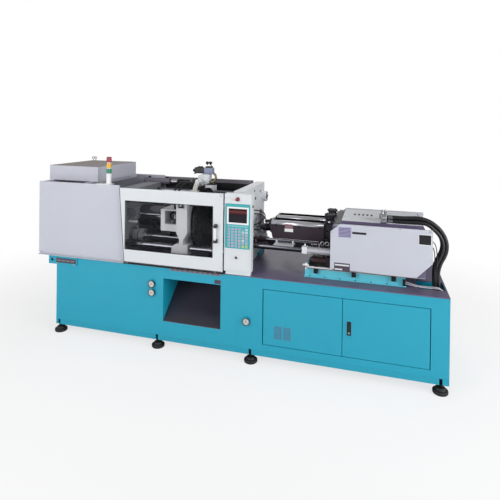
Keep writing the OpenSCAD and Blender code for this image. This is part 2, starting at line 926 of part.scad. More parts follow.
// The neck's side view, narrowing in a double curve from the plate down to the shoe.
neck_outline = [[mov_x, neck_z], [mov_x + 8, neck_z - 30], [mov_x + neck_bow, neck_z - 62],
  [mov_x + neck_in, neck_z - 95], [mov_x + neck_in, shoe_z1], [mov_x + neck_in + neck_w, shoe_z1],
  [mov_x + neck_in + neck_w, neck_z - 105], [mov_x + neck_in + neck_w + 8, neck_z - 80],
  [mov_x1 - 22, neck_z - 48], [mov_x1 - 6, neck_z - 22], [mov_x1, neck_z]];
// The shoe's side view, with its upper left corner rounded off.
shoe_outline = [[mov_x1 - shoe_l, shoe_z], [mov_x1 - 4, shoe_z], [mov_x1 - 4, shoe_z1],
  [mov_x1 - shoe_l + 70, shoe_z1], [mov_x1 - shoe_l + 44, shoe_z1 - 7],
  [mov_x1 - shoe_l + 22, shoe_z1 - 26], [mov_x1 - shoe_l + 6, shoe_z1 - 54],
  [mov_x1 - shoe_l, shoe_z1 - 82]];

module moving_platen() {
  color(pale) difference() {
    union() {
      slab([mov_x, mov_x1], [platen_y, bed_w - platen_y], [neck_z, mov_top]);
      front_plate(neck_outline, [platen_y, bed_w - platen_y]);
      for (sy = [platen_y + 20, bed_w - platen_y - 20 - 2 * shoe_w])
        front_plate(shoe_outline, [sy, sy + 2 * shoe_w]);
    }
    tie_bar_holes([mov_x1 - shoe_l, mov_x1], bar_r + slide_c);
    bar_x([mov_x - eps, mov_x1 + eps], mid_y, axis_z, hub_r + slide_c);
  }
}

hub_l = 80;

module rotary_table() {
  color(steel) difference() {
    union() {
      bar_x([table_x, table_x1], mid_y, axis_z, table_r);
      bar_x([table_x - hub_l, table_x], mid_y, axis_z, hub_r);
    }
    for (by = barrel_ys) mould_holes(by, [table_x1 - 40, table_x1 + eps]);
  }
}

valve_y = mid_y - 5;
valve_in = 15;
valve_x = mov_x + valve_in;
valve_foot_w = 150;
valve_foot_h = 45;
valve_body_in = 35;
valve_body_l = 180;
valve_body_w = 100;
valve_body_h = 155;
valve_head_in = 145;
valve_head_l = 103;
valve_head_w = 80;
valve_head_h = 84;
valve_body_z = mov_top + valve_foot_h;
valve_head_z = valve_body_z + valve_body_h;
solenoid_r = 32;
knob_r = 13;
knob_h = 90;
knob_in = 25;
knob_pitch = 45;

module valve_block() {
  color(steel) union() {
    slab([valve_x, mov_x1], [valve_y - valve_foot_w / 2, valve_y + valve_foot_w / 2],
      [mov_top, valve_body_z]);
    slab([valve_x + valve_body_in, valve_x + valve_body_in + valve_body_l],
      [valve_y - valve_body_w / 2, valve_y + valve_body_w / 2], [valve_body_z, valve_head_z]);
    slab([valve_x + valve_head_in, valve_x + valve_head_in + valve_head_l],
      [valve_y - valve_head_w / 2, valve_y + valve_head_w / 2],
      [valve_head_z, valve_head_z + valve_head_h]);
    bar_x([valve_x, valve_x + valve_head_in], valve_y, valve_head_z + valve_head_h / 2, solenoid_r);
    for (i = [0, 1])
      bar_z(valve_x + valve_head_in + knob_in + i * knob_pitch, valve_y,
        [valve_head_z + valve_head_h, valve_head_z + valve_head_h + knob_h], knob_r);
  }
}

// ---------- injection unit ----------

module injection_base() {
  color(teal) slab([base_x, base_x1], [base_y, bed_w - base_y], [bed_h, carriage_z]);
}

trav_tail = 963;
under_r = 14;
under_in = 85;
under_y = barrel_ys[0] - under_in;
under_drop = 122;
under_z = axis_z - under_drop;
under_tail = 1128;

module injection_guide_rods() {
  color(steel) both_sides() {
    bar_x([fixed_x1, fixed_x1 + trav_tail], trav_y, trav_z, trav_rod_r);
    bar_x([fixed_x1, fixed_x1 + under_tail], under_y, under_z, under_r);
  }
}

tray_x = 2690;
tray_l = 230;
tray_y = 220;
tray_w = 210;
tray_z = under_z - 36;
tray_t = 6;
hanger_l = 20;

module drip_trays() {
  color(pale) both_sides() difference() {
    union() {
      slab([tray_x, tray_x + tray_l], [tray_y, tray_y + tray_w], [tray_z, tray_z + tray_t]);
      for (hx = [tray_x + 10, tray_x + tray_l - 10 - hanger_l])
        slab([hx, hx + hanger_l], [under_y - 20, under_y + 20], [tray_z + tray_t, under_z + 8]);
    }
    bar_x([tray_x - eps, tray_x + tray_l + eps], under_y, under_z, under_r + 0.3);
  }
}

house_x = 3343;
house_x1 = 4349;
house_wall = 20;
house_in = 20;
carriage_run = 0.3;
carriage_t = 20;
carriage_x = 3095;
carriage_out = 40;
clamp_xs = [3164, 3562, 3962];
clamp_w = 44;
clamp_t = 30;
clamp_h = 50;
carriage_side = 6;

module injection_carriage() {
  color(dark) union() {
    slab([carriage_x, house_x1 - 60], [base_y - carriage_out, bed_w - base_y + carriage_out],
      [carriage_z + carriage_run, carriage_z + carriage_run + carriage_t]);
    for (cx = clamp_xs) for (cy = [base_y - carriage_side - clamp_t, bed_w - base_y + carriage_side])
      slab([cx, cx + clamp_w], [cy, cy + clamp_t],
        [carriage_z + carriage_run - clamp_h, carriage_z + carriage_run + carriage_t]);
  }
}

lid_in = 78;

module injection_housing() {
  color(mauve) difference() {
    union() {
      slab([house_x + house_in, house_x1 - 60], [inj_y + house_wall, bed_w - inj_y - house_wall],
        [carriage_z + carriage_run + carriage_t, inj_top - 35]);
      slab([house_x + 100, house_x1 - lid_in], [inj_y + 145, bed_w - inj_y - 145],
        [inj_top - 35, inj_top]);
    }
    for (ty = trav_ys) bar_x([house_x, trav_x1 + eps], ty, trav_z, trav_r + slide_c);
    for (uy = [under_y, bed_w - under_y])
      bar_x([house_x, fixed_x1 + under_tail + carriage_travel + 20], uy, under_z,
        under_r + slide_c);
  }
}

cover_outline = [[house_x, inj_z + 14], [house_x1 - 154, inj_z], [house_x1, inj_z + 159],
  [house_x1, inj_top - 10], [house_x + 100, inj_top - 10], [house_x, inj_top - 94]];

module injection_cover_front() {
  color(pale) front_plate(cover_outline, [inj_y, inj_y + house_wall]);
}

module injection_cover_rear() {
  color(pale) mirror([0, 1, 0]) front_plate(cover_outline, [inj_y, inj_y + house_wall]);
}

module barrels() {
  color(dark) for (by = barrel_ys) {
    bar_x([nozzle_x, nozzle_x + 70], by, axis_z, nozzle_r);
    bar_x([nozzle_x + 70, heat_x], by, axis_z, barrel_r);
  }
}

module heater_covers() {
  color([0.25, 0.2, 0.2]) for (by = barrel_ys)
    slab([heat_x, heat_x1], [by - heat_w / 2, by + heat_w / 2],
      [axis_z - heat_h / 2, axis_z + heat_h / 2]);
}

throat_r = 30;
throat_h = 200;
throat_w = 160;
throat_cap_w = 120;
throat_cap_h = 60;
throat_under = 100;
throat_z = axis_z + throat_h;

module feed_throats() {
  color(dark) for (by = barrel_ys) difference() {
    union() {
      slab([heat_x1, house_x + house_in], [by - throat_w / 2, by + throat_w / 2],
        [axis_z - throat_under, throat_z - throat_cap_h]);
      slab([heat_x1 + 10, house_x + 5], [by - throat_cap_w / 2, by + throat_cap_w / 2],
        [throat_z - throat_cap_h, throat_z]);
    }
    bar_z(throat_x, by, [axis_z, throat_z + eps], throat_r);
  }
}

throat_x = (heat_x1 + house_x + 15) / 2;

trav_x = 3034;
trav_x1 = 3660;

lower_x = 3112;
lower_y = 225;
lower_drop = 268;
lower_z = axis_z - lower_drop;
lower_r = 35;

module injection_cylinders() {
  color(white) both_sides() {
    difference() {
      bar_x([trav_x, trav_x1], trav_y, trav_z, trav_r);
      bar_x([trav_x - eps, trav_x1 - 20], trav_y, trav_z, trav_rod_r + slide_c);
    }
    bar_x([lower_x, house_x + house_in], lower_y, lower_z, lower_r);
  }
}

manifold_x = 3850;
manifold_l = 60;
manifold_y = 245;
manifold_w = 190;
manifold_h = 92;

module hose_manifold() {
  color(steel) slab([manifold_x, manifold_x + manifold_l], [manifold_y, manifold_y + manifold_w],
    [inj_top, inj_top + manifold_h]);
}

// Round points on the lower hoses' way, as stations and heights above the deck.
hose_low = [[3910, 646], [3989, 646], [4069, 646], [4148, 649], [4227, 651], [4308, 638],
  [4373, 592], [4427, 535], [4460, 463], [4461, 384], [4435, 309], [4405, 236],
  [4391, 158], [4390, 79], [4394, -1], [4398, -80]];
// Round points on the upper hoses' way.
hose_high = [[3910, 680], [3993, 680], [4076, 680], [4159, 685], [4242, 686], [4323, 667],
  [4395, 624], [4453, 565], [4491, 490], [4502, 406], [4484, 324], [4449, 249],
  [4427, 169], [4424, 86], [4428, 3], [4432, -80]];
hose_r = 19;
hose_sides = 8;
hose_low_ys = [270, 312, 354];
hose_high_y = 291;

function hose_ring(p, t, r) = [for (k = [0 : hose_sides - 1])
  let (a = 360 * k / hose_sides)
  [p[0] - t[2] * r * cos(a), p[1] + r * sin(a), p[2] + t[0] * r * cos(a)]];

function unit(v) = v / norm(v);

function hose_dir(pts, i) = unit(pts[min(i + 1, len(pts) - 1)] - pts[max(i - 1, 0)]);

module hose(route, y, r) {
  pts = [for (p = route) [p[0], y, p[1]]];
  n = len(pts);
  rings = [for (i = [0 : n - 1]) hose_ring(pts[i], hose_dir(pts, i), r)];
  verts = [for (ring = rings) for (v = ring) v];
  sides = [for (i = [0 : n - 2]) for (k = [0 : hose_sides - 1])
    let (a = i * hose_sides, b = (k + 1) % hose_sides)
    [a + k, a + b, a + hose_sides + b, a + hose_sides + k]];
  ends = [[for (k = [hose_sides - 1 : -1 : 0]) k],
    [for (k = [0 : hose_sides - 1]) (n - 1) * hose_sides + k]];
  polyhedron(points = verts, faces = concat(sides, ends), convexity = 4);
}

module injection_hoses() {
  color(dark) translate([x0, y0, z0 + bed_h]) {
    for (hy = hose_low_ys) hose(hose_low, hy, hose_r);
    hose(hose_high, hose_high_y, hose_r);
    hose(hose_high, hose_high_y + 2 * hose_r + 4, hose_r);
  }
}

clamp_bed();
injection_bed();
base_rail_front();
base_rail_rear();
levelling_feet();
lifting_lugs();
deck();
chute();
cabinet_door_left();
cabinet_door_right();
cabinet_louvres();
cabinet_latch();
pressure_gauges();
door_rails();
clamp_cover_front();
clamp_cover_rear();
clamp_cover_end();
top_housing();
tower_lamp();
front_guard_door();
door_window();
door_handle();
door_wheels();
rear_guard();
rear_guard_window();
control_column();
control_panel();
panel_keys();
panel_knobs();
fixed_platen();
platen_blocks();
rear_platen();
tie_bars();
tie_bar_nuts();
clamp_cylinders();
moving_platen();
ram_and_rods();
ejector_box();
valve_block();
rotary_table();
injection_base();
injection_guide_rods();
drip_trays();
injection_carriage();
injection_housing();
injection_cover_front();
injection_cover_rear();
barrels();
heater_covers();
feed_throats();
injection_cylinders();
hose_manifold();
injection_hoses();
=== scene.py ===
import math

import bmesh
import bpy
from mathutils import Matrix, Vector


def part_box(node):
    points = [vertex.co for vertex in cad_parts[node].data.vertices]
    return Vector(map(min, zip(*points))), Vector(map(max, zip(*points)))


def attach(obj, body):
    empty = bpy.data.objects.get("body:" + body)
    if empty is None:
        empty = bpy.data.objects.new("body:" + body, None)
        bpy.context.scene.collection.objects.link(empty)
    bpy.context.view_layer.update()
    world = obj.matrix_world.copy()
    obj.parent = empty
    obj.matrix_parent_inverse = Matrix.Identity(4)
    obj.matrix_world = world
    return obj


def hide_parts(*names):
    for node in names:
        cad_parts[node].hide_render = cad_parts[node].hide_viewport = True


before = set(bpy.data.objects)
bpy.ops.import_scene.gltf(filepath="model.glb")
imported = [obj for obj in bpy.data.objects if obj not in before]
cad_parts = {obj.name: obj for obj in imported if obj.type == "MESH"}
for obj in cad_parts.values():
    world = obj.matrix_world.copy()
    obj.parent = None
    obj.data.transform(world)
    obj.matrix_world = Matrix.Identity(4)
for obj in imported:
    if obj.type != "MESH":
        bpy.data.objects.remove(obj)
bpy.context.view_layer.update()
print("frame loaded")

scene = bpy.context.scene
scene.view_settings.view_transform = "Standard"
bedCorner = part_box("base_rail_front")[0]  # the bed's front left lower corner


def at(station, depth, level):
    # millimetres along the bed, behind its front face and above its underside
    return bedCorner + Vector((station, depth, level)) / 1000


# camera and lamps
cameraSet = {"place": (1.684, -5.221, 2.571), "turn": 16.15, "nod": 0.28, "roll": 0.72, "lens": 31.89,
             "shiftX": 0.0026, "shiftY": -0.2426}
lampSet = {
    "key": {"place": (-3.2, -6.5, 3.4), "aim": (0, 0, 0.9), "size": 5.0, "power": 270},
    "fill": {"place": (7.0, -3.0, 3.0), "aim": (-0.5, 0, 1.1), "size": 5.0, "power": 360},
    "top": {"place": (0.2, 0.6, 6.0), "aim": (0, 0, 0.8), "size": 4.0, "power": 55, "glossy": False},
    "back": {"place": (-1.0, 6.5, 4.5), "aim": (0, 0, 0.9), "size": 4.0, "power": 55,
             "specular": 0.15},
}
worldSet = {"side": 0.42, "above": 0.14, "mirrored": 0.36}


def makeCamera(s):
    data = bpy.data.cameras.new("camera")
    data.lens = s["lens"]
    data.shift_x = s["shiftX"]
    data.shift_y = s["shiftY"]
    data.clip_end = 200
    camera = bpy.data.objects.new("camera", data)
    turn = Matrix.Rotation(math.radians(s["turn"]), 4, "Z")
    nod = Matrix.Rotation(math.radians(90 - s["nod"]), 4, "X")
    roll = Matrix.Rotation(math.radians(s["roll"]), 4, "Z")
    camera.matrix_world = Matrix.Translation(s["place"]) @ turn @ nod @ roll
    scene.collection.objects.link(camera)
    scene.camera = camera


def makeLamp(name, s):
    data = bpy.data.lights.new(name, "AREA")
    data.shape = "SQUARE"
    data.size = s["size"]
    data.energy = s["power"]
    lamp = bpy.data.objects.new(name, data)
    aim = Vector(s["aim"]) - Vector(s["place"])
    lamp.matrix_world = Matrix.Translation(s["place"]) @ aim.to_track_quat("-Z", "Y").to_matrix().to_4x4()
    lamp.visible_glossy = s.get("glossy", True)
    data.specular_factor = s.get("specular", 1.0)
    scene.collection.objects.link(lamp)


makeCamera(cameraSet)
for lampName, lampValues in lampSet.items():
    makeLamp(lampName, lampValues)
print("camera and lamps placed")


# materials: a colour is written as six sRGB digits
def linear(hexColour, alpha=1.0):
    parts = [int(hexColour[i:i + 2], 16) / 255 for i in (0, 2, 4)]
    return [c / 12.92 if c <= 0.04045 else ((c + 0.055) / 1.055) ** 2.4 for c in parts] + [alpha]


def addNode(tree, kind, settings=None, links=None):
    node = tree.nodes.new(kind)
    for key, value in (settings or {}).items():
        if isinstance(key, int) or key in node.inputs:
            node.inputs[key].default_value = value
        else:
            setattr(node, key, value)
    for key, source in (links or {}).items():
        tree.links.new(source, node.inputs[key])
    return node


def startMaterial(name):
    material = bpy.data.materials.new(name)
    material.use_nodes = True
    tree = material.node_tree
    tree.nodes.clear()
    return material, tree


def endMaterial(tree, shader):
    addNode(tree, "ShaderNodeOutputMaterial", None, {"Surface": shader.outputs[0]})


surfaceSet = {"coatRough": 0.1, "broadDetail": 3.0, "fineDetail": 2.0, "bumpShare": 1 / 4000}


def makeSurface(name, colour, rough, metal=0.0, coat=0.0, mottle=0.05, mottleMm=260, grain=0.0,
                grainMm=1.2, stretch=(1, 1, 1), roughSwing=0.06, alpha=1.0, shine=0.5):
    # colour drifts slowly over the surface and the fine grain is a bump, both on object coordinates
    material, tree = startMaterial(name)
    coords = addNode(tree, "ShaderNodeTexCoord")
    placed = addNode(tree, "ShaderNodeMapping", {"Scale": stretch}, {"Vector": coords.outputs["Object"]})
    broad = addNode(tree, "ShaderNodeTexNoise", {"Scale": 1000 / mottleMm,
            "Detail": surfaceSet["broadDetail"]}, {"Vector": placed.outputs[0]})
    base = linear(colour, alpha)
    low = [c * (1 - 2 * mottle) for c in base[:3]] + [1]
    tint = addNode(tree, "ShaderNodeMix", {"data_type": "RGBA", 6: low, 7: base[:3] + [1]},
            {0: broad.outputs["Fac"]})
    swing = addNode(tree, "ShaderNodeMapRange", {"To Min": rough - roughSwing,
            "To Max": rough + roughSwing}, {"Value": broad.outputs["Fac"]})
    shader = addNode(tree, "ShaderNodeBsdfPrincipled", {"Metallic": metal, "Coat Weight": coat,
            "Coat Roughness": surfaceSet["coatRough"], "Alpha": alpha, "Specular IOR Level": shine},
            {"Base Color": tint.outputs[2], "Roughness": swing.outputs[0]})
    if grain:
        fine = addNode(tree, "ShaderNodeTexNoise", {"Scale": 1000 / grainMm,
                "Detail": surfaceSet["fineDetail"]}, {"Vector": placed.outputs[0]})
        bump = addNode(tree, "ShaderNodeBump", {"Strength": grain,
                "Distance": grainMm * surfaceSet["bumpShare"]}, {"Height": fine.outputs["Fac"]})
        tree.links.new(bump.outputs[0], shader.inputs["Normal"])
    endMaterial(tree, shader)
    return material


paints = {
    # two-pack polyurethane enamel, sprayed: a faint orange peel drawn at 9 mm so that it shows
    "tealEnamel": dict(colour="189FBB", rough=0.36, coat=0.1, mottle=0.03, grain=0.05, grainMm=9),
    # the same enamel on the rails and feet pads, in the shade of the bed
    "tealRail": dict(colour="1C9DB8", rough=0.4, mottle=0.05, grain=0.05, grainMm=9),
    # the injection base is rolled in a paler mix
    "baseTeal": dict(colour="6AD6EA", rough=0.4, mottle=0.05, grain=0.05, grainMm=9),
    # powder coat on folded sheet, pale lavender grey, fine texture
    "paleCoat": dict(colour="C2C5D0", rough=0.42, mottle=0.02, grain=0.08, grainMm=4),
    # off-white powder coat of the door and the column
    "whiteCoat": dict(colour="D8DCE0", rough=0.4, mottle=0.02, grain=0.08, grainMm=4),
    # satin mauve grey paint on the deck plates, rubbed by feet, so the gloss drifts
    "deckPaint": dict(colour="6E6682", rough=0.34, shine=0.3, mottle=0.12, mottleMm=160,
                      grain=0.1, grainMm=7, roughSwing=0.12),
    # cast iron of the rear platen and the clamp cylinders: the pale casting paint darkened to grey as
    # painted shade, for the platen's top lies in shade under the covers
    "shadedCasting": dict(colour="8F9299", rough=0.45, mottle=0.1, mottleMm=120, grain=0.3, grainMm=6),
    # the rotary table: near-black steel with a metallic sheen
    "nearBlackSteel": dict(colour="1E1E22", rough=0.26, metal=0.5, mottle=0.1, mottleMm=80, grain=0.08,
                           grainMm=4),
    # the ventilation panels, blue-grey
    "louvreBlue": dict(colour="557C9C", rough=0.4, mottle=0.08, mottleMm=60, grain=0.08, grainMm=5),
    # powder coat of the rear guard and the small brackets
    "guardPaint": dict(colour="7A7480", rough=0.4, mottle=0.05, grain=0.08, grainMm=5),
    # satin black paint on steel
    "blackPaint": dict(colour="26232A", rough=0.38, shine=0.2, mottle=0.1, grain=0.08, grainMm=4),
    # sand-cast iron under a pale stoving enamel, the sand's grain drawn at 6 mm
    "paintedCasting": dict(colour="ECEEF2", rough=0.45, mottle=0.05, mottleMm=120, grain=0.3, grainMm=6),
    # sand-cast iron under black paint
    "darkCasting": dict(colour="2B2A30", rough=0.42, shine=0.3, mottle=0.12, mottleMm=60, grain=0.4,
                        grainMm=5),
    # turned or ground steel: marks run round, drawn by a stretched grain
    "turnedSteel": dict(colour="9E9EA6", rough=0.3, metal=1.0, mottle=0.08, mottleMm=40,
                        grain=0.1, grainMm=3, stretch=(6, 1, 1)),
    # hard chrome on ground bar, its colour kept darker than chrome's own: painted shade of the dark
    # interior that the bars reflect
    "hardChrome": dict(colour="83838C", rough=0.14, metal=1.0, mottle=0.03, roughSwing=0.04),
    # bright zinc plate
    "zincPlate": dict(colour="C9C9CC", rough=0.28, metal=1.0, mottle=0.1, mottleMm=30),
    # stoved heat-resisting enamel, glossy brown-black
    "heatEnamel": dict(colour="40363F", rough=0.3, shine=0.12, mottle=0.08,
                       grain=0.06, grainMm=12, roughSwing=0.04),
    # synthetic rubber hose cover
    "hoseRubber": dict(colour="1B1B1F", rough=0.4, mottle=0.15, mottleMm=30, grain=0.3, grainMm=5),
    # moulded rubber pads, dusty
    "padRubber": dict(colour="1D1C1F", rough=0.6, mottle=0.2, mottleMm=40, grain=0.2, grainMm=3),
    # moulded ABS, matte black
    "blackPlastic": dict(colour="18181B", rough=0.35, mottle=0.05, grain=0.1, grainMm=2),
    # moulded ABS, light
    "whitePlastic": dict(colour="EDEDEF", rough=0.35, mottle=0.02, grain=0.1, grainMm=2),
}
# cast and blown sheets and films
paints["clearSheet"] = dict(colour="1A2022", rough=0.05, alpha=0.1, mottle=0.0, roughSwing=0.02)
# the rear guard's window: a near-black, nearly opaque sheet, painted shade of the interior seen through the
# machine
paints["rearWindowPaintedShade"] = dict(colour="17171B", rough=0.12, alpha=0.93, mottle=0.02, roughSwing=0.03)
paints["keypadFilm"] = dict(colour="2DA7AC", rough=0.3, mottle=0.03, grain=0.05, grainMm=3)
films = {"keyLavender": "BDB6D2", "keyPink": "D2B4C6", "keyGrey": "8E8AA2", "keyLime": "D4E24C",
         "keyWhite": "E8E6EE", "keyTeal": "58BCC0"}
for filmName, filmColour in films.items():
    # embossed polyester film over the switches: a soft sheen on each cushion
    paints[filmName] = dict(colour=filmColour, rough=0.34, mottle=0.03, grain=0.05, grainMm=3)
for lensName, lensColour in {"greenLens": "0E8A63", "amberLens": "EBB51E", "redLens": "A60F30"}.items():
    # moulded acrylic lens, dyed right through: deep colour under a clear gloss
    paints[lensName] = dict(colour=lensColour, rough=0.18, coat=0.6, mottle=0.08, mottleMm=40,
            roughSwing=0.04)
paints.update({
    # hard gloss moulding on the stop button
    "redPlastic": dict(colour="860C24", rough=0.22, coat=0.4, mottle=0.05, mottleMm=30),
    # white stoved enamel of the dials
    "dialEnamel": dict(colour="F4F4F2", rough=0.3, mottle=0.01),
    # blued and oiled steel: near black with a soft metallic sheen
    "blackSteel": dict(colour="2A2A30", rough=0.3, metal=0.8, mottle=0.12, mottleMm=30, grain=0.1,
                       grainMm=3),
    "darkSteel": dict(colour="4A4850", rough=0.3, metal=0.9, mottle=0.1, mottleMm=40, grain=0.1, grainMm=3),
    # ground steel plate: fine lines along the machine
    "groundSteel": dict(colour="8F9098", rough=0.38, metal=0.7, mottle=0.12, mottleMm=50, grain=0.3,
                        grainMm=4, stretch=(0.1, 1, 1)),
    # drawn brass, dulled by oil mist
    "brass": dict(colour="8E8468", rough=0.3, metal=0.9, mottle=0.1, mottleMm=30, grain=0.1, grainMm=3),
    # aluminium paint, brushed on: pale grey with a weak sparkle
    "silverPaint": dict(colour="BFC0C8", rough=0.35, metal=0.35, mottle=0.06, mottleMm=60, grain=0.1,
                        grainMm=3),
    # brown-black paint on the pulling blocks and rod brackets
    "umberPaint": dict(colour="3A2A30", rough=0.35, shine=0.25, mottle=0.12, mottleMm=60, grain=0.1,
                       grainMm=4),
    # stoved enamels on the valve stack
    "creamEnamel": dict(colour="DEDCD4", rough=0.35, coat=0.2, mottle=0.06, mottleMm=50, grain=0.15,
                        grainMm=5),
    "blueEnamel": dict(colour="7E8AA8", rough=0.34, coat=0.2, mottle=0.05, mottleMm=50, grain=0.1,
                       grainMm=4),
    # self-adhesive plates: matt print film
    "labelPlate": dict(colour="4A3F4E", rough=0.5, mottle=0.1, mottleMm=40, grain=0.05, grainMm=3),
    "lavenderPlate": dict(colour="A9A4CC", rough=0.45, mottle=0.05, mottleMm=40, grain=0.05, grainMm=3),
    "roseLabel": dict(colour="8E6C74", rough=0.4, mottle=0.12, mottleMm=20, grain=0.05, grainMm=3),
    # the lid of the heater covers: the covers' enamel darkened to near black and without specular, painted
    # shade of their dark tops
    "lidPaintedShade": dict(colour="1E181C", rough=0.3, shine=0.0, mottle=0.15, roughSwing=0.04),
    # the rolled edge of those covers: bright metal standing in for the streak of light along the roll, a
    # painted highlight
    "edgePaintedHighlight": dict(colour="D8D8DC", rough=0.3, metal=1.0, mottle=0.03, roughSwing=0.02),
    # blown nylon tube
    "clearTube": dict(colour="C9C7D2", rough=0.25, mottle=0.08, mottleMm=30, grain=0.05, grainMm=3),
})
finishes = {name: makeSurface(name, **paint) for name, paint in paints.items()}


screenSet = {"levels": (1424, 1581), "ends": ("15151B", "2A1A1E"), "rowScale": 60.0, "rowDetail": 2.0,
             "bands": {0.35: "1C1A24", 0.58: "241C26", 0.66: "4E1E28", 0.78: "6A3A34", 0.88: "3A1A22"},
             "rough": (0.1, 0.2), "coat": 0.15, "shine": 0.2}


def makeScreen(s):
    # dark display glass with a warm bar across its upper third
    material, tree = startMaterial("screenGlass")
    coords = addNode(tree, "ShaderNodeTexCoord")
    parts = addNode(tree, "ShaderNodeSeparateXYZ", None, {0: coords.outputs["Object"]})
    low, high = (at(0, 0, level).z for level in s["levels"])
    rise = addNode(tree, "ShaderNodeMapRange", {"From Min": low, "From Max": high},
            {"Value": parts.outputs["Z"]})
    bands = addNode(tree, "ShaderNodeValToRGB", None, {"Fac": rise.outputs[0]})
    ramp = bands.color_ramp
    for end, tone in zip(ramp.elements, s["ends"]):
        end.color = linear(tone)
    for place, tone in s["bands"].items():
        ramp.elements.new(place).color = linear(tone)
    rows = addNode(tree, "ShaderNodeTexNoise", {"Scale": s["rowScale"], "Detail": s["rowDetail"]},
            {"Vector": coords.outputs["Object"]})
    swing = addNode(tree, "ShaderNodeMapRange", {"To Min": s["rough"][0], "To Max": s["rough"][1]},
            {"Value": rows.outputs["Fac"]})
    shader = addNode(tree, "ShaderNodeBsdfPrincipled",
            {"Coat Weight": s["coat"], "Specular IOR Level": s["shine"]},
            {"Base Color": bands.outputs[0], "Roughness": swing.outputs[0]})
    endMaterial(tree, shader)
    return material


splitSet = {"soft": 0.002, "driftScale": 5.0, "driftDetail": 3.0, "darkest": 0.9, "roughSwing": 0.06}


def makeSplit(name, axis, place, first, second, rough=0.4):
    # two colours that meet at a station, depth or level, with the usual drift and grain; some pairs are two
    # paints, others a paint and its painted shade
    material, tree = startMaterial(name)
    coords = addNode(tree, "ShaderNodeTexCoord")
    parts = addNode(tree, "ShaderNodeSeparateXYZ", None, {0: coords.outputs["Object"]})
    limit = at(place, place, place)["XYZ".index(axis)]
    side = addNode(tree, "ShaderNodeMapRange", {"From Min": limit - splitSet["soft"],
            "From Max": limit + splitSet["soft"]}, {"Value": parts.outputs[axis]})
    paint = addNode(tree, "ShaderNodeMix", {"data_type": "RGBA", 6: linear(first), 7: linear(second)},
            {0: side.outputs[0]})
    broad = addNode(tree, "ShaderNodeTexNoise", {"Scale": splitSet["driftScale"],
            "Detail": splitSet["driftDetail"]}, {"Vector": coords.outputs["Object"]})
    shade = addNode(tree, "ShaderNodeMapRange", {"To Min": splitSet["darkest"], "To Max": 1.0},
            {"Value": broad.outputs["Fac"]})
    drift = addNode(tree, "ShaderNodeMix", {"data_type": "RGBA", "blend_type": "MULTIPLY", 0: 1.0},
            {6: paint.outputs[2], 7: shade.outputs[0]})
    swing = addNode(tree, "ShaderNodeMapRange", {"To Min": rough - splitSet["roughSwing"],
            "To Max": rough + splitSet["roughSwing"]}, {"Value": broad.outputs["Fac"]})
    shader = addNode(tree, "ShaderNodeBsdfPrincipled", None,
            {"Base Color": drift.outputs[2], "Roughness": swing.outputs[0]})
    endMaterial(tree, shader)
    return material


finishes["screenGlass"] = makeScreen(screenSet)
# the lower rail is painted with the cover as far as the door's closed edge; beyond it, under the door, it
# is near black as painted shade
finishes["railPaintAndShade"] = makeSplit("railPaintAndShade", "X", 952, "BDC1CC", "1C1A1F")
# the rear guard is grey outside; inside it is near black, painted shade of the clamp's interior
finishes["guardPaintAndShade"] = makeSplit("guardPaintAndShade", "Y", 1184, "161519", "6E6874")
# the chute's left cheek keeps the bed's teal, its floor is black and shiny
finishes["chuteFinish"] = makeSplit("chuteFinish", "X", 1463, "238AA0", "35343F", 0.22)
# the raised housing's top is darker and browner than its sides: painted shade, for the top gets little
# light
finishes["housingTopPaintedShade"] = makeSplit("housingTopPaintedShade", "Z", 1947, "C6C8D4", "A39A98")
# the carriage is black, a little lighter above its top's level
finishes["carriageFinish"] = makeSplit("carriageFinish", "Z", 974, "1B1A1E", "2A282E")
print("materials made")

# modelling helpers: each adds one shape to a bmesh; places are (station, depth, level) in mm
onX, onY, onZ = Vector((1, 0, 0)), Vector((0, 1, 0)), Vector((0, 0, 1))


def finishShape(bm, verts, bevel, tone, sharp=0.5):
    faces = {f for v in verts for f in v.link_faces}
    for face in faces:
        face.material_index = tone
        face.smooth = True
    edges = {e for f in faces for e in f.edges if e.is_boundary or e.calc_face_angle(0) > sharp}
    if bevel:
        bmesh.ops.bevel(bm, geom=list(edges), offset=bevel / 1000, segments=2, profile=0.5,
                affect="EDGES", material=-1, clamp_overlap=True)


def block(bm, x, y, z, bevel=2, tone=0):
    low, high = at(x[0], y[0], z[0]), at(x[1], y[1], z[1])
    verts = bmesh.ops.create_cube(bm, size=1)["verts"]
    bmesh.ops.scale(bm, vec=high - low, verts=verts)
    bmesh.ops.translate(bm, vec=(low + high) / 2, verts=verts)
    finishShape(bm, verts, bevel, tone)


def along(start, end):
    # the transform that stands a shape along Z from one point to another
    turn = (end - start).to_track_quat("Z", "Y").to_matrix().to_4x4()
    return Matrix.Translation((start + end) / 2) @ turn


def rod(bm, start, end, radius, tone=0, tip=None, sides=32, bevel=0):
    start, end = at(*start), at(*end)
    verts = bmesh.ops.create_cone(bm, cap_ends=True, segments=sides, radius1=radius / 1000,
            radius2=(radius if tip is None else tip) / 1000, depth=(end - start).length,
            matrix=along(start, end))["verts"]
    finishShape(bm, verts, bevel, tone, 0.9 if sides > 7 else 0.5)


def turned(bm, start, axis, profile, tone=0, sides=32):
    # profile holds (distance along the axis, radius) in mm, from the start
    start = at(*start)
    axis = Vector(axis).normalized()
    side = axis.orthogonal().normalized()
    verts = [bm.verts.new(start + axis * run / 1000 + side * radius / 1000) for run, radius in profile]
    edges = [bm.edges.new(pair) for pair in zip(verts, verts[1:])]
    known = set(bm.faces)
    bmesh.ops.spin(bm, geom=verts + edges, cent=start, axis=axis, dvec=(0, 0, 0), angle=math.tau,
            steps=sides, use_merge=True, use_duplicate=False)
    faces = [f for f in bm.faces if f not in known]
    bmesh.ops.remove_doubles(bm, verts=list({v for f in faces for v in f.verts}), dist=1e-6)
    faces = [f for f in bm.faces if f not in known]
    bmesh.ops.recalc_face_normals(bm, faces=faces)
    for face in faces:
        face.material_index = tone
        face.smooth = True


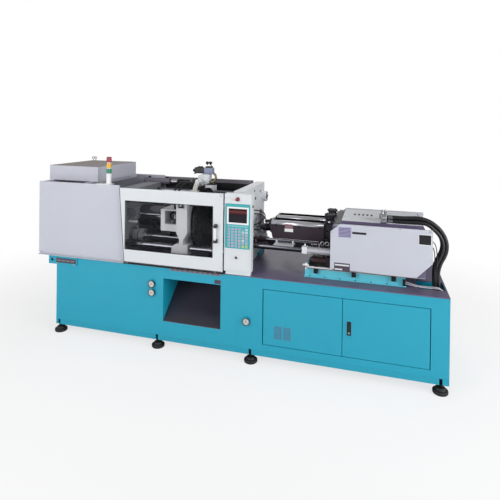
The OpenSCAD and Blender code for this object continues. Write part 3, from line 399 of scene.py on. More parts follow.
def plate(bm, outline, depth, bevel=2, tone=0):
    # an outline of places in one plane, given a thickness by the vector depth in mm
    verts = [bm.verts.new(at(*p)) for p in outline]
    made = bmesh.ops.extrude_face_region(bm, geom=[bm.faces.new(verts)])["geom"]
    moved = [v for v in made if isinstance(v, bmesh.types.BMVert)]
    bmesh.ops.translate(bm, vec=Vector(depth) / 1000, verts=moved)
    bmesh.ops.recalc_face_normals(bm, faces=list({f for v in verts + moved for f in v.link_faces}))
    finishShape(bm, verts + moved, bevel, tone, 0.1)


def windowPlate(bm, x, z, y, border, depth, bevel=2, tone=0):
    # a frame that faces the front: its outer size, its front face and its border's width
    corners = [(x[0], z[0]), (x[1], z[0]), (x[1], z[1]), (x[0], z[1])]
    face = bm.faces.new([bm.verts.new(at(a, y, b)) for a, b in corners])
    face.normal_update()
    made = bmesh.ops.inset_individual(bm, faces=[face], thickness=border / 1000, use_even_offset=True)
    ring = made["faces"]
    bmesh.ops.delete(bm, geom=[face], context="FACES_ONLY")
    grown = bmesh.ops.extrude_face_region(bm, geom=ring)["geom"]
    moved = [v for v in grown if isinstance(v, bmesh.types.BMVert)]
    bmesh.ops.translate(bm, vec=Vector((0, depth / 1000, 0)), verts=moved)
    verts = list({v for f in ring if f.is_valid for v in f.verts}) + moved
    bmesh.ops.recalc_face_normals(bm, faces=list({f for v in verts for f in v.link_faces}))
    finishShape(bm, verts, bevel, tone, 0.3)


boltSet = {"washer": 0.1, "washerRadius": 0.62, "head": 0.5, "round": 0.05}  # shares of the size


def bolt(bm, seat, facing, size, tone=0):
    # a washer and a hexagon head on its seat; size is across the corners
    top = [c + f * size * boltSet["washer"] for c, f in zip(seat, facing)]
    end = [c + f * size * boltSet["head"] for c, f in zip(seat, facing)]
    rod(bm, seat, top, size * boltSet["washerRadius"], tone, sides=14)
    rod(bm, top, end, size / 2, tone, sides=6, bevel=size * boltSet["round"])


def boltRing(bm, centre, facing, radius, count, size, tone=0, turn=0.0):
    # bolts evenly round a centre, on a face that looks along X, Y or Z
    first, second = [(1, 2), (0, 2), (0, 1)][[abs(f) for f in facing].index(1)]
    for step in range(count):
        angle = turn + math.tau * step / count
        seat = list(centre)
        seat[first] += radius * math.cos(angle)
        seat[second] += radius * math.sin(angle)
        bolt(bm, seat, facing, size, tone)


def mirrorRear(bm):
    # repeats everything about the machine's centre plane
    made = bmesh.ops.duplicate(bm, geom=bm.verts[:] + bm.edges[:] + bm.faces[:])["geom"]
    verts = [g for g in made if isinstance(g, bmesh.types.BMVert)]
    bmesh.ops.scale(bm, vec=(1, -1, 1), verts=verts)
    bmesh.ops.reverse_faces(bm, faces=[g for g in made if isinstance(g, bmesh.types.BMFace)])


def finishPiece(bm, name, body, tones, slotName, *stands):
    mesh = bpy.data.meshes.new(name)
    bm.to_mesh(mesh)
    bm.free()
    for tone in tones:
        mesh.materials.append(finishes[tone])
    piece = bpy.data.objects.new(name, mesh)
    scene.collection.objects.link(piece)
    piece.modifiers.new("evenNormals", "WEIGHTED_NORMAL").keep_sharp = True
    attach(piece, body)
    if stands:
        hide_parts(*stands)
    return piece


edgeSet = {"weld": 0.00005, "width": 0.002, "steps": 2, "angle": 0.6}


def dressNode(node, tones):
    # a CAD node keeps its shape and gets a finish and broken edges
    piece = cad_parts[node]
    piece.data.materials.clear()
    for tone in tones:
        piece.data.materials.append(finishes[tone])
    weld = piece.modifiers.new("weld", "WELD")
    weld.merge_threshold = edgeSet["weld"]
    broken = piece.modifiers.new("brokenEdges", "BEVEL")
    broken.width = edgeSet["width"]
    broken.segments = edgeSet["steps"]
    broken.limit_method = "ANGLE"
    broken.angle_limit = edgeSet["angle"]
    piece.modifiers.new("evenNormals", "WEIGHTED_NORMAL")


def makeTube(name, places, radius, body, finish):
    # a round tube on one smooth curve through its places; these and the radius are in metres
    curve = bpy.data.curves.new(name, "CURVE")
    curve.dimensions = "3D"
    curve.bevel_depth = radius
    curve.bevel_resolution = 4
    curve.use_fill_caps = True
    spline = curve.splines.new("BEZIER")
    spline.bezier_points.add(len(places) - 1)
    spline.resolution_u = 6
    for knot, place in zip(spline.bezier_points, places):
        knot.co = place
        knot.handle_left_type = knot.handle_right_type = "AUTO"
    curve.materials.append(finishes[finish])
    tube = bpy.data.objects.new(name, curve)
    scene.collection.objects.link(tube)
    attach(tube, body)
    return tube


def bentPipe(name, points, radius, body, finish):
    # a rigid pipe through its places
    return makeTube(name, [at(*p) for p in points], radius / 1000, body, finish)


# hoses and cables, each drawn along its own way
hoseSet = {
    "diameter": 0.038,
    "low": [(3910, 1496), (3989, 1496), (4069, 1496), (4148, 1499), (4227, 1501), (4308, 1488),
            (4373, 1442), (4427, 1385), (4460, 1313), (4461, 1234), (4435, 1159), (4405, 1086),
            (4391, 1008), (4390, 929), (4394, 849), (4398, 770)],
    "high": [(3910, 1530), (3993, 1530), (4076, 1530), (4159, 1535), (4242, 1536), (4323, 1517),
             (4395, 1474), (4453, 1415), (4491, 1340), (4502, 1256), (4484, 1174), (4449, 1099),
             (4427, 1019), (4424, 936), (4428, 853), (4432, 770)],
    "lengths": {"low": 1.19, "high": 1.25},
    "depths": {"hoseLowFront": ("low", 270), "hoseLowMiddle": ("low", 312), "hoseLowRear": ("low", 354),
               "hoseHighFront": ("high", 291), "hoseHighRear": ("high", 333)},
}
# the clamp's hoses: both ends are on the moving platen
clampHoseSet = {
    "diameter": 0.024,
    "thin": {"ejectorHoseC": 0.016},  # the short pilot hose, which bends more tightly
    "routes": {
        "valveHoseA": [(1334, 1116, 1696), (1375, 1100, 1712), (1425, 1060, 1740), (1475, 1000, 1768),
                       (1520, 925, 1790), (1560, 850, 1802), (1595, 780, 1803), (1625, 715, 1796),
                       (1652, 647, 1786)],
        "valveHoseB": [(1334, 1152, 1700), (1380, 1142, 1725), (1440, 1105, 1765), (1510, 1040, 1805),
                       (1580, 950, 1835), (1635, 860, 1845), (1675, 770, 1838), (1698, 700, 1826),
                       (1708, 650, 1815)],
        "valveHoseC": [(1334, 1134, 1664), (1385, 1110, 1684), (1430, 1050, 1714), (1462, 970, 1745),
                       (1485, 880, 1768), (1505, 790, 1782), (1530, 710, 1785), (1566, 640, 1780),
                       (1612, 610, 1772)],
        "valveHoseD": [(1334, 1110, 1660), (1380, 1080, 1672), (1412, 1010, 1697), (1432, 920, 1725),
                       (1448, 830, 1744), (1470, 740, 1752), (1505, 660, 1752), (1552, 600, 1750),
                       (1612, 575, 1747)],
        "valveHoseE": [(1334, 1146, 1672), (1392, 1128, 1700), (1452, 1080, 1738), (1512, 1008, 1776),
                       (1560, 924, 1806), (1600, 838, 1822), (1636, 756, 1822), (1664, 690, 1812),
                       (1684, 648, 1802)],
        "valveHoseF": [(1344, 1090, 1690), (1384, 1062, 1696), (1420, 1006, 1712), (1444, 930, 1732),
                       (1462, 846, 1748), (1484, 764, 1758), (1516, 690, 1762), (1556, 634, 1762),
                       (1612, 592, 1760)],
        "ejectorHoseA": [(1612, 560, 1740), (1572, 548, 1752), (1524, 512, 1768), (1482, 452, 1772),
                         (1456, 380, 1748), (1448, 318, 1696), (1454, 282, 1630), (1464, 265, 1555),
                         (1472, 262, 1480), (1474, 262, 1404)],
        "ejectorHoseB": [(1612, 588, 1728), (1578, 570, 1738), (1544, 530, 1750), (1516, 470, 1756),
                         (1500, 400, 1740), (1496, 335, 1698), (1500, 290, 1635), (1506, 266, 1556),
                         (1510, 262, 1480), (1510, 262, 1404)],
        "ejectorHoseC": [(1438, 292, 1300), (1424, 288, 1330), (1400, 300, 1362), (1384, 328, 1388),
                         (1386, 366, 1402), (1406, 406, 1400), (1436, 442, 1378), (1458, 468, 1342),
                         (1466, 482, 1302)],
    },
}


def addBetween(points):
    # one more place halfway along each stretch, on the same smooth curve
    ends = [points[0] * 2 - points[1], *points, points[-1] * 2 - points[-2]]
    denser = []
    for a, b, c, d in zip(ends, ends[1:], ends[2:], ends[3:]):
        denser += [b, (b + c) * 0.5625 - (a + d) * 0.0625]
    return [*denser, points[-1]]


def layCord(name, points, diameter, length, body, finish):
    if len(points) < 15:  # a cord's curve has 15 places or more
        points = addBetween(points)
    cord = makeTube(name, points, diameter / 2, body, finish)
    if length is None:  # held at both ends: as long as its way, and 1% for its curves
        length = round(sum((b - a).length for a, b in zip(points, points[1:])) * 1.01, 2)
    return cord


def layCords(s, body, finish):
    for name, way in s["routes"].items():
        diameter = s.get("thin", {}).get(name, s["diameter"])
        layCord(name, [at(*p) for p in way], diameter, None, body, finish)


for hoseName, (route, depth) in hoseSet["depths"].items():
    way = [at(x, depth, z) for x, z in hoseSet[route]]
    hose = layCord(hoseName, way, hoseSet["diameter"], hoseSet["lengths"][route], "injection_unit",
            "hoseRubber")
    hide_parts("injection_hoses")
layCords(clampHoseSet, "moving_platen", "hoseRubber")
print("hoses laid")

# clamp: side cylinders, guides, ejector, valve stack
cylinderHeadSet = {"depth": 305, "level": 1115, "face": 1050, "flange": 76, "bolts": 8, "boltCircle": 62}


def makeCylinderHeads(s):
    bm = bmesh.new()
    centre = (s["face"], s["depth"], s["level"])
    turned(bm, centre, onX, [(0, 20), (0, s["flange"] - 1), (9, s["flange"] - 1), (12, s["flange"] - 4),
            (12, 47), (14, 45), (24, 44), (26, 40), (26, 31), (36, 30), (38, 27), (38, 20.6)], 0)
    boltRing(bm, (s["face"] + 12, s["depth"], s["level"]), (1, 0, 0), s["boltCircle"], s["bolts"], 19, 2)
    for station in (905, 985):
        turned(bm, (station, s["depth"], s["level"]), onX,
                [(0, 60), (0, s["flange"] + 1.5), (6, s["flange"] + 1.5), (8, s["flange"]), (8, 60)], 1)
    block(bm, (915, 965), (s["depth"] - 28, s["depth"] + 28), (1180, 1206), 3, 0)
    rod(bm, (940, s["depth"], 1206), (940, s["depth"], 1222), 15, 2, sides=6, bevel=1)
    mirrorRear(bm)
    finishPiece(bm, "cylinderHeads", "machine", ["turnedSteel", "blackPaint", "zincPlate"], "bright_steel")


makeCylinderHeads(cylinderHeadSet)

guideSet = {"depth": 228, "level": 1395, "face": 1000, "stopLevel": 1290}


def makeGuideBlocks(s):
    bm = bmesh.new()
    y, z = s["depth"], s["level"]
    turned(bm, (s["face"], y, z), onX, [(0, 16), (0, 29), (3, 29), (4, 27), (4, 15)], 1)
    for row in range(7):  # machined steps across the block's front
        level = z - 50 + row * 17
        block(bm, (864, 996), (y - 37, y - 34), (level, level + 9), 1, 0)
    for station in (878, 984):
        for level in (z - 44, z + 56):
            bolt(bm, (station, y - 37, level), (0, -1, 0), 15, 1)
    rod(bm, (861, y, s["stopLevel"]), (982, y, s["stopLevel"]), 17, 2, bevel=2)
    rod(bm, (861, y, s["stopLevel"]), (872, y, s["stopLevel"]), 23, 1, sides=6, bevel=1)
    mirrorRear(bm)
    finishPiece(bm, "guideBlocks", "machine", ["groundSteel", "zincPlate", "whitePlastic"], "casting")


makeGuideBlocks(guideSet)

ejectorSet = {"centre": (600, 1375), "barrel": 58, "x": (1366, 1556)}


def makeEjector(s):
    bm = bmesh.new()
    y, z = s["centre"]
    x0, x1 = s["x"]
    rod(bm, (x0, y, z), (x1, y, z), s["barrel"], 0, bevel=2)
    for station in (x0, x1 - 24):
        block(bm, (station, station + 24), (y - 70, y + 70), (z - 70, z + 70), 3, 0)
    for side in (-1, 1):
        for up in (-1, 1):
            rod(bm, (x0, y + 58 * side, z + 58 * up), (x1, y + 58 * side, z + 58 * up), 8, 1, sides=12)
    # the front manifold with its banjo fittings, where the hoses come down
    block(bm, (1452, 1548), (232, 330), (1296, 1352), 3, 1)
    for station in (1474, 1510):
        turned(bm, (station, 262, 1352), onZ,
                [(0, 0), (0, 15), (10, 15), (11, 11), (24, 11), (25, 0)], 2, 6)
        turned(bm, (station, 262, 1376), onZ, [(0, 0), (0, 12), (26, 12), (28, 9), (28, 0)], 2, 24)
    turned(bm, (1452, 280, 1324), -onX, [(0, 0), (0, 17), (12, 17), (14, 12), (30, 12), (31, 0)], 2, 6)
    for station in (1462, 1538):
        bolt(bm, (station, 232, 1324), (0, -1, 0), 13, 2)
    finishPiece(bm, "ejectorFittings", "moving_platen",
            ["darkCasting", "blackPaint", "zincPlate"], "dark_steel")


makeEjector(ejectorSet)

bumperSet = {"x": (1585, 1669), "z": (1508, 1594), "face": 110, "pad": 64}


def makeBumper(s):
    bm = bmesh.new()
    middle = [(a + b) / 2 for a, b in (s["x"], s["z"])]
    block(bm, s["x"], (s["face"] - 8, s["face"]), s["z"], 2, 1)
    half = s["pad"] / 2
    block(bm, (middle[0] - half, middle[0] + half), (s["face"] - 24, s["face"] - 8),
            (middle[1] - half, middle[1] + half), 5, 0)
    rod(bm, (middle[0], s["face"] - 30, middle[1]), (middle[0], s["face"] - 24, middle[1]), 15, 2,
            sides=6, bevel=1)
    # the plate's machined edge and the small lever over the shoe
    block(bm, (1690, 1697), (s["face"] - 2, s["face"]), (1244, 1664), 0.8, 1)
    rod(bm, (1612, 150, 1092), (1612, 150, 1106), 13, 2, sides=6, bevel=1)
    block(bm, (1592, 1642), (138, 162), (1106, 1113), 2, 0)
    for station in (1522, 1672):
        bolt(bm, (station, 130, 975), (0, -1, 0), 15, 2)
    finishPiece(bm, "platenBumper", "moving_platen", ["blackPlastic", "whiteCoat", "zincPlate"],
            "black_plastic")


makeBumper(bumperSet)

valveSet = {"depth": 595, "foot": (1575, 1700), "top": 1670}


def makeValves(s):
    # a subplate on the platen with a cast body, a directional valve and its solenoid
    bm = bmesh.new()
    y, top = s["depth"], s["top"]
    block(bm, s["foot"], (y - 75, y + 75), (top, top + 45), 3, 3)
    block(bm, (1612, 1702), (y - 52, y + 52), (top + 45, 1800), 7, 0)
    plate(bm, [(1640, y - 55, 1796), (1690, y - 55, 1722), (1738, y - 55, 1735), (1792, y - 55, 1790),
            (1800, y - 55, 1872), (1700, y - 55, 1872), (1650, y - 55, 1850)], (0, 110, 0), 9, 1)
    # the round cover that faces the front, and the brass elbow on the right
    turned(bm, (1752, y - 55, 1806), -onY,
            [(0, 46), (10, 46), (14, 42), (14, 30), (20, 28), (24, 22), (25, 0)], 1)
    boltRing(bm, (1752, y - 69, 1806), (0, -1, 0), 37, 6, 9, 4)
    turned(bm, (1700, y - 50, 1748), -onY, [(0, 26), (14, 26), (16, 22), (30, 22), (32, 0)], 0, 6)
    turned(bm, (1640, y - 52, 1770), -onY, [(0, 20), (22, 20), (24, 16), (34, 16), (35, 0)], 4, 6)
    # the valve, its solenoid with a ribbed case, plug and hand pin
    block(bm, (1721, 1834), (y - 40, y + 40), (1872, 1952), 6, 2)
    block(bm, (1735, 1820), (y - 42, y + 42), (1890, 1936), 3, 2)
    boltRing(bm, (1778, y, 1952), (0, 0, 1), 44, 4, 9, 4, 0.785)
    block(bm, (1590, 1721), (y - 35, y + 35), (1880, 1950), 9, 5)
    for rib in range(6):
        block(bm, (1598 + rib * 18, 1606 + rib * 18), (y - 38, y + 38), (1877, 1953), 2, 5)
    turned(bm, (1590, y, 1913), -onX, [(0, 24), (8, 24), (10, 18), (24, 18), (26, 8), (30, 7), (30, 0)], 5)
    block(bm, (1630, 1690), (y - 22, y + 22), (1950, 1966), 4, 5)
    rod(bm, (1612, y, 1885), (1578, y, 1872), 9, 5, sides=16)
    # the small pilot block on top with its two hand knobs
    block(bm, (1736, 1822), (y - 26, y + 26), (1954, 1970), 3, 5)
    block(bm, (1744, 1808), (y - 20, y + 20), (1970, 1986), 3, 4)
    for station in (1752, 1796):
        turned(bm, (station, y, 1986), onZ,
                [(0, 8), (12, 8), (13, 16), (19, 21), (33, 21), (41, 16), (44, 8), (45, 0)], 5, 24)
    finishPiece(bm, "valveStack", "moving_platen", ["zincPlate", "whiteCoat", "blueEnamel",
            "darkCasting", "zincPlate", "blackPlastic"], "bright_steel", "valve_block")


makeValves(valveSet)
bentPipe("valveElbow", [(1800, 595, 1772), (1832, 595, 1776), (1858, 595, 1796), (1868, 595, 1828),
        (1862, 595, 1860), (1838, 595, 1884)], 15, "moving_platen", "brass")
bentPipe("valveDrain", [(1700, 512, 1748), (1735, 490, 1740), (1790, 470, 1762), (1828, 468, 1784)], 9,
        "moving_platen", "zincPlate")

legSet = {"y": (400, 440), "foot": 1670}


def makeLeg(s):
    # the pale cast leg in front of the valves, with its foot and pipe clamp
    bm = bmesh.new()
    y0, y1 = s["y"]
    plate(bm, [(1634, y0, 1684), (1686, y0, 1684), (1700, y0, 1740), (1716, y0, 1786), (1672, y0, 1790),
            (1650, y0, 1744)], (0, y1 - y0, 0), 5, 0)
    block(bm, (1622, 1698), (y0 - 6, y1 + 6), (s["foot"], 1684), 3, 0)
    block(bm, (1668, 1722), (y0 - 3, y1 + 3), (1784, 1802), 4, 1)
    for level in (1706, 1752):
        bolt(bm, (1662 + (level - 1706) * 0.3, y0, level), (0, -1, 0), 13, 2)
    finishPiece(bm, "valveLeg", "moving_platen", ["creamEnamel", "whiteCoat", "zincPlate"], "casting")


makeLeg(legSet)

conduitSet = {"depth": 1135, "level": 1680, "sleeve": (575, 985), "outer": 44, "inner": 41, "ribs": 39}


def makeConduit(s):
    # the fixed sleeve on the rear side, into which the ribbed end slides as the clamp opens
    bm = bmesh.new()
    start, end = s["sleeve"]
    run = end - start
    turned(bm, (start, s["depth"], s["level"]), onX, [(0, s["inner"]), (0, s["outer"]),
            (run - 30, s["outer"]), (run - 28, s["outer"] + 1), (run, s["outer"] + 1),
            (run, s["inner"]), (0, s["inner"])], 0)
    for station in (620, 900):
        block(bm, (station, station + 30), (s["depth"] + 20, 1180),
                (s["level"] + 34, s["level"] + 60), 2, 1)
    finishPiece(bm, "conduitSleeve", "machine", ["guardPaint", "blackPaint"], "guard_grey")
    bm = bmesh.new()
    ribs = s["ribs"]
    profile = [(0, 30), (0, ribs - 4)]
    for rib in range(5):
        profile += [(8 + rib * 19, ribs - 4), (10 + rib * 19, ribs), (20 + rib * 19, ribs),
                (22 + rib * 19, ribs - 4)]
    turned(bm, (994, s["depth"], s["level"]), onX, profile + [(106, ribs - 4), (106, 0)], 0)
    turned(bm, (640, s["depth"], s["level"]), onX, [(0, 0), (0, 31), (356, 31), (356, 0)], 1)
    profile = [(0, 30)]
    for rib in range(16):
        profile += [(rib * 13, ribs - 6), (rib * 13 + 3, ribs), (rib * 13 + 9, ribs),
                (rib * 13 + 12, ribs - 6)]
    turned(bm, (1098, s["depth"], s["level"]), onX, profile + [(210, ribs - 6), (212, 0)], 1)
    # the bracket on the platen that carries the hoses' bundle
    block(bm, (1304, 1334), (1046, 1172), (1634, 1726), 6, 1)
    block(bm, (1334, 1690), (1046, 1086), (1676, 1684), 2, 1)
    block(bm, (1564, 1690), (1046, 1086), (1670, 1676), 1, 1)
    for station in (1600, 1660):
        bolt(bm, (station, 1066, 1684), (0, 0, 1), 15, 0)
    finishPiece(bm, "conduitEnd", "moving_platen", ["zincPlate", "hoseRubber"], "bright_steel")


makeConduit(conduitSet)
print("clamp fitted")

# bed: feet, gauges, strips and plates
footSet = {"stations": (45, 1385, 2505, 4425), "depth": 40, "floor": -95}


def makeFeet(s):
    # two-step rubber-cased pads on threaded stems, with lock nuts under and over the rail
    bm = bmesh.new()
    for station in s["stations"]:
        base = (station, s["depth"], s["floor"])
        turned(bm, base, onZ, [(0, 0), (0, 66), (3, 70), (8, 73), (26, 74), (32, 72), (36, 66),
                (38, 60), (37, 52), (46, 50), (56, 47), (60, 42), (62, 30), (63, 0)], 0, 40)
        thread = [(0, 0), (0, 12)]
        for turn in range(14):
            thread += [(2 + turn * 6, 12), (5 + turn * 6, 10.6)]
        turned(bm, (station, s["depth"], -34), onZ, thread + [(90, 12), (92, 0)], 1, 20)
        turned(bm, (station, s["depth"], -34), onZ, [(0, 0), (0, 20), (14, 20), (15, 0)], 1, 6)
        turned(bm, (station, s["depth"], -16), onZ, [(0, 0), (0, 25), (15, 25), (16, 23), (16, 0)], 1, 6)
        turned(bm, (station, s["depth"], 8), onZ, [(0, 0), (0, 22), (15, 22), (16, 20), (16, 0)], 1, 6)
    mirrorRear(bm)
    finishPiece(bm, "footPads", "machine", ["padRubber", "blackSteel"], "black_rubber", "levelling_feet")


makeFeet(footSet)

gaugeSet = {"places": [(1318, 642), (1320, 543), (2462, 358)], "radius": 42, "depth": 26, "marks": 11,
            "long": 20, "short": 25, "rim": 31}


def onDial(x, z, angle, reach, depth):
    # a place on a dial, at a reach from its middle
    return x + reach * math.cos(angle), depth, z + reach * math.sin(angle)


def makeGauges(s):
    bm = bmesh.new()
    face = -s["depth"]
    for number, (x, z) in enumerate(s["places"]):
        turned(bm, (x, 0, z), -onY, [(0, 34), (4, 36), (20, 37), (22, 41),
                (s["depth"] - 1, s["radius"]), (s["depth"], 40), (s["depth"], 36), (20, 34),
                (20, 0)], 0, 48)
        turned(bm, (x, face + 5, z), -onY, [(0, 0), (0, 34.5), (1, 34.5), (1, 0)], 1, 48)
        for mark in range(s["marks"]):
            angle = math.radians(225 - 270 * mark / (s["marks"] - 1))
            start = s["long"] if mark % 5 == 0 else s["short"]
            rod(bm, onDial(x, z, angle, start, face + 3.2), onDial(x, z, angle, s["rim"], face + 3.2),
                    0.9, 0, sides=6)
        angle = math.radians(205 - 40 * number)
        rod(bm, onDial(x, z, angle, -9, face + 2.4), onDial(x, z, angle, 27, face + 2.4), 1.6, 2,
                tip=0.6, sides=8)
        turned(bm, (x, face + 4, z), -onY, [(0, 5), (2.5, 5), (3, 0)], 0, 16)
    finishPiece(bm, "gaugeDials", "machine", ["blackPlastic", "dialEnamel", "redPlastic"], "gauge_dial",
            "pressure_gauges")
    bm = bmesh.new()
    for x, z in s["places"]:
        turned(bm, (x, face + 1.6, z), -onY, [(0, 0), (0, 36.4), (1.2, 36), (1.6, 0)], 0, 48)
    finishPiece(bm, "gaugeGlasses", "machine", ["clearSheet"], "clear_sheet")


makeGauges(gaugeSet)

stripSet = {"drip": ((1544, 2165), (815, 848)), "plate": ((2088, 2163), (727, 768)),
            "lug": ((5, 291), (767, 824))}


def makeStrips(s):
    # the perforated strip under the door, a bare plate by the bay and another on the front lug
    bm = bmesh.new()
    (x0, x1), z = s["drip"]
    block(bm, (x0, x1), (-3, 0), z, 1, 0)
    # the perforations are dark patches on the strip's face, painted shade of holes
    for hole in range(10):
        middle = x0 + 34 + hole * (x1 - x0 - 68) / 9
        block(bm, (middle - 15, middle + 15), (-3.6, -3), (z[0] + 9, z[0] + 15), 0.2, 1)
        block(bm, (middle - 15, middle + 15), (-3.6, -3), (z[0] + 20, z[0] + 25), 0.2, 1)
    for end in (x0 + 10, x1 - 10):
        bolt(bm, (end, -3, z[0] + 17), (0, -1, 0), 8, 2)
    block(bm, s["plate"][0], (-2.5, 0), s["plate"][1], 0.8, 1)
    for end in (s["plate"][0][0] + 6, s["plate"][0][1] - 6):
        rod(bm, (end, -2.5, s["plate"][1][0] + 20), (end, -3.6, s["plate"][1][0] + 20), 2.4, 2, sides=12)
    (x0, x1), z = s["lug"]
    block(bm, (x0, x1), (-18, -16), z, 0.8, 3)
    for step in range(4):
        block(bm, (x0 + 14 + step * 66, x0 + 66 + step * 66), (-18.4, -18), (z[0] + 20, z[0] + 37), 0.2, 0)
    finishPiece(bm, "bedStrips", "machine",
            ["guardPaint", "labelPlate", "zincPlate", "labelPlate"], "grey_plastic")
    bm = bmesh.new()
    for x in (262, 20):  # bolts of the lug plate
        bolt(bm, (x, -16, 762), (0, -1, 0), 17, 0)
    # a black disc that fills the eye, and its ring
    turned(bm, (-50, -13, 800), -onY, [(0, 0), (0, 19.7), (2, 19.7), (3, 17), (3, 0)], 2, 32)
    turned(bm, (-50, -16, 800), -onY, [(0, 19), (0, 30), (3, 30), (4, 28), (4, 19)], 1, 32)
    mirrorRear(bm)
    finishPiece(bm, "lugBolts", "machine", ["zincPlate", "tealEnamel", "padRubber"], "bright_steel")


makeStrips(stripSet)

latchSet = {"x": (3531, 3573), "z": (356, 498)}


def makeLatch(s):
    # the flush lift handle in its black cup, and the lock barrel under it
    bm = bmesh.new()
    (x0, x1), (z0, z1) = s["x"], s["z"]
    windowPlate(bm, (x0, x1), (z0, z1), -4, 6, 4, 1, 0)
    block(bm, (x0 + 11, x1 - 11), (-8, -2), (z0 + 44, z1 - 12), 3, 0)
    turned(bm, ((x0 + x1) / 2, -2, z0 + 26), -onY,
            [(0, 0), (0, 10), (5, 10), (6, 8), (6, 3), (5, 3), (5, 0)], 1, 24)
    finishPiece(bm, "latchHandle", "cabinet_door_right", ["blackPlastic", "zincPlate"], "black_plastic")


makeLatch(latchSet)
print("bed fitted")

# guards: lamp, handle, door and cover fittings, control column
lampTowerSet = {"x": 690, "y": 58, "base": 1764, "tube": 125, "lens": 58, "ring": 8, "radius": 31,
                "colours": ("greenLens", "amberLens", "redLens")}


def makeTowerLamp(s):
    bm = bmesh.new()
    x, y, z = s["x"], s["y"], s["base"]
    block(bm, (545, 740), (0, 93), (1756, 1764), 2, 0)
    turned(bm, (x, y, z), onZ, [(0, 0), (0, s["radius"]), (6, s["radius"]), (8, s["radius"] - 1),
            (s["tube"] - 4, s["radius"] - 1), (s["tube"] - 2, s["radius"]), (s["tube"], s["radius"]),
            (s["tube"], 0)], 0, 40)
    for station in (565, 620):
        bolt(bm, (station, 46, 1764), (0, 0, 1), 12, 4)
    for level in range(3):
        start = z + s["tube"] + level * (s["lens"] + s["ring"])
        profile = [(0, 0), (0, s["radius"] - 2)]
        for rib in range(9):  # the lens's moulded rings
            profile += [(2 + rib * 6, s["radius"]), (6 + rib * 6, s["radius"] - 1.6)]
        turned(bm, (x, y, start), onZ,
                profile + [(s["lens"], s["radius"] - 2), (s["lens"], 0)], level + 1, 40)
        turned(bm, (x, y, start + s["lens"]), onZ, [(0, 0), (0, s["radius"] - 3), (1, s["radius"] - 1),
                (7, s["radius"] - 1), (8, s["radius"] - 4), (8, 0)], 0 if level < 2 else 3, 40)
    finishPiece(bm, "lampTower", "machine", ["whitePlastic", *s["colours"], "zincPlate"],
            "lamp_plastic", "tower_lamp")


makeTowerLamp(lampTowerSet)

handleSet = {"x": 2110, "levels": (1210, 1375), "out": 50, "face": -32, "grip": 10}


def makeHandle(s, name, body, stands, face, way, x):
    # two black feet that carry a pale grip
    bm = bmesh.new()
    reach = face + way * s["out"]
    for level in s["levels"]:
        block(bm, (x - 20, x + 20), tuple(sorted((face, face + way * 12))), (level - 22, level + 22), 4, 0)
        plate(bm, [(x - 17, face, level - 18), (x - 17, face, level + 18), (x - 17, reach, level + 15),
                (x - 17, reach, level - 15)], (34, 0, 0), 5, 0)
    turned(bm, (x, face + way * (s["out"] - 15), s["levels"][0] + 10), onZ,
            [(0, 0), (0, 9), (4, s["grip"]), (141, s["grip"]), (145, 9), (145, 0)], 1, 24)
    finishPiece(bm, name, body, ["blackPlastic", "whitePlastic"], "black_plastic", *stands)


makeHandle(handleSet, "doorGrip", "front_guard_door", ["door_handle"], handleSet["face"],
        -1, handleSet["x"])

doorSet = {"x": (890, 2187), "lean": 72, "z": (868, 1735), "face": -32, "window": (968, 2072, 1018, 1591)}


def makeDoorFittings(s):
    # the glazing bead round the window, the wear strip at the foot and the catch plate
    bm = bmesh.new()
    x0, x1, z0, z1 = s["window"]
    windowPlate(bm, (x0 - 1, x1 + 1), (z0 - 1, z1 + 1), s["face"] + 1, 7, 6, 1, 0)
    block(bm, (s["x"][0] + 76, s["x"][1] - 3), (s["face"] - 1.5, s["face"]),
            (s["z"][0] + 2, s["z"][0] + 9), 0.6, 0)
    # a black strip along the slanted left edge for the dark line there: partly the door's edge thickness,
    # partly painted shade
    left = s["x"][0] - 0.5
    plate(bm, [(left, s["face"] - 1, s["z"][1]), (left + s["lean"], s["face"] - 1, s["z"][0]),
            (left + s["lean"] + 7, s["face"] - 1, s["z"][0]), (left + 7, s["face"] - 1, s["z"][1])],
            (0, 16, 0), 1, 0)
    block(bm, (s["x"][1] - 40, s["x"][1] - 12), (s["face"] - 3, s["face"]),
            (s["z"][1] - 34, s["z"][1] - 12), 1, 1)
    finishPiece(bm, "doorBeads", "front_guard_door", ["blackPlastic", "zincPlate"], "black_plastic")


makeDoorFittings(doorSet)

coverSet = {"end": -270, "z": (865, 1756)}


def makeCoverFittings(s):
    # folded returns, screws along the foot of the covers and the seam of the end cover
    bm = bmesh.new()
    for station in (-232, 60, 352, 644, 910):
        bolt(bm, (station, -0.2, s["z"][0] + 14), (0, -1, 0), 9, 1)
    for level in (900, 1230, 1560):
        bolt(bm, (s["end"], 30, level), (-1, 0, 0), 9, 1)
    block(bm, (s["end"] + 6, 860), (2, 18), (s["z"][1], s["z"][1] + 3), 1, 0)
    mirrorRear(bm)
    finishPiece(bm, "coverScrews", "machine", ["paleCoat", "zincPlate"], "pale_paint")
    bm = bmesh.new()
    for corner in ((-200, 200), (-200, 1000), (420, 200), (420, 1000)):
        bolt(bm, (corner[0], corner[1], 1949), (0, 0, 1), 12, 1)
    finishPiece(bm, "housingScrews", "machine", ["paleCoat", "zincPlate"], "pale_paint")


makeCoverFittings(coverSet)

columnSet = {"x": (2211, 2496), "face": -23, "bezel": ((2233, 2481), (1407, 1598)),
             "screen": ((2253, 2461), screenSet["levels"]),
             "keys": {"x": 2257, "z": 1169, "pitch": (40, 31), "size": 22, "count": (6, 7)}}
keyTones = {(4, 0): 3, (5, 0): 3, (4, 1): 0, (5, 1): 1, (4, 2): 4, (5, 2): 0, (4, 3): 1, (5, 3): 1,
            (4, 4): 0, (5, 4): 1, (4, 5): 4, (5, 5): 4, (4, 6): 5, (5, 6): 4, (1, 0): 1, (0, 3): 1,
            (2, 5): 1, (3, 2): 1}


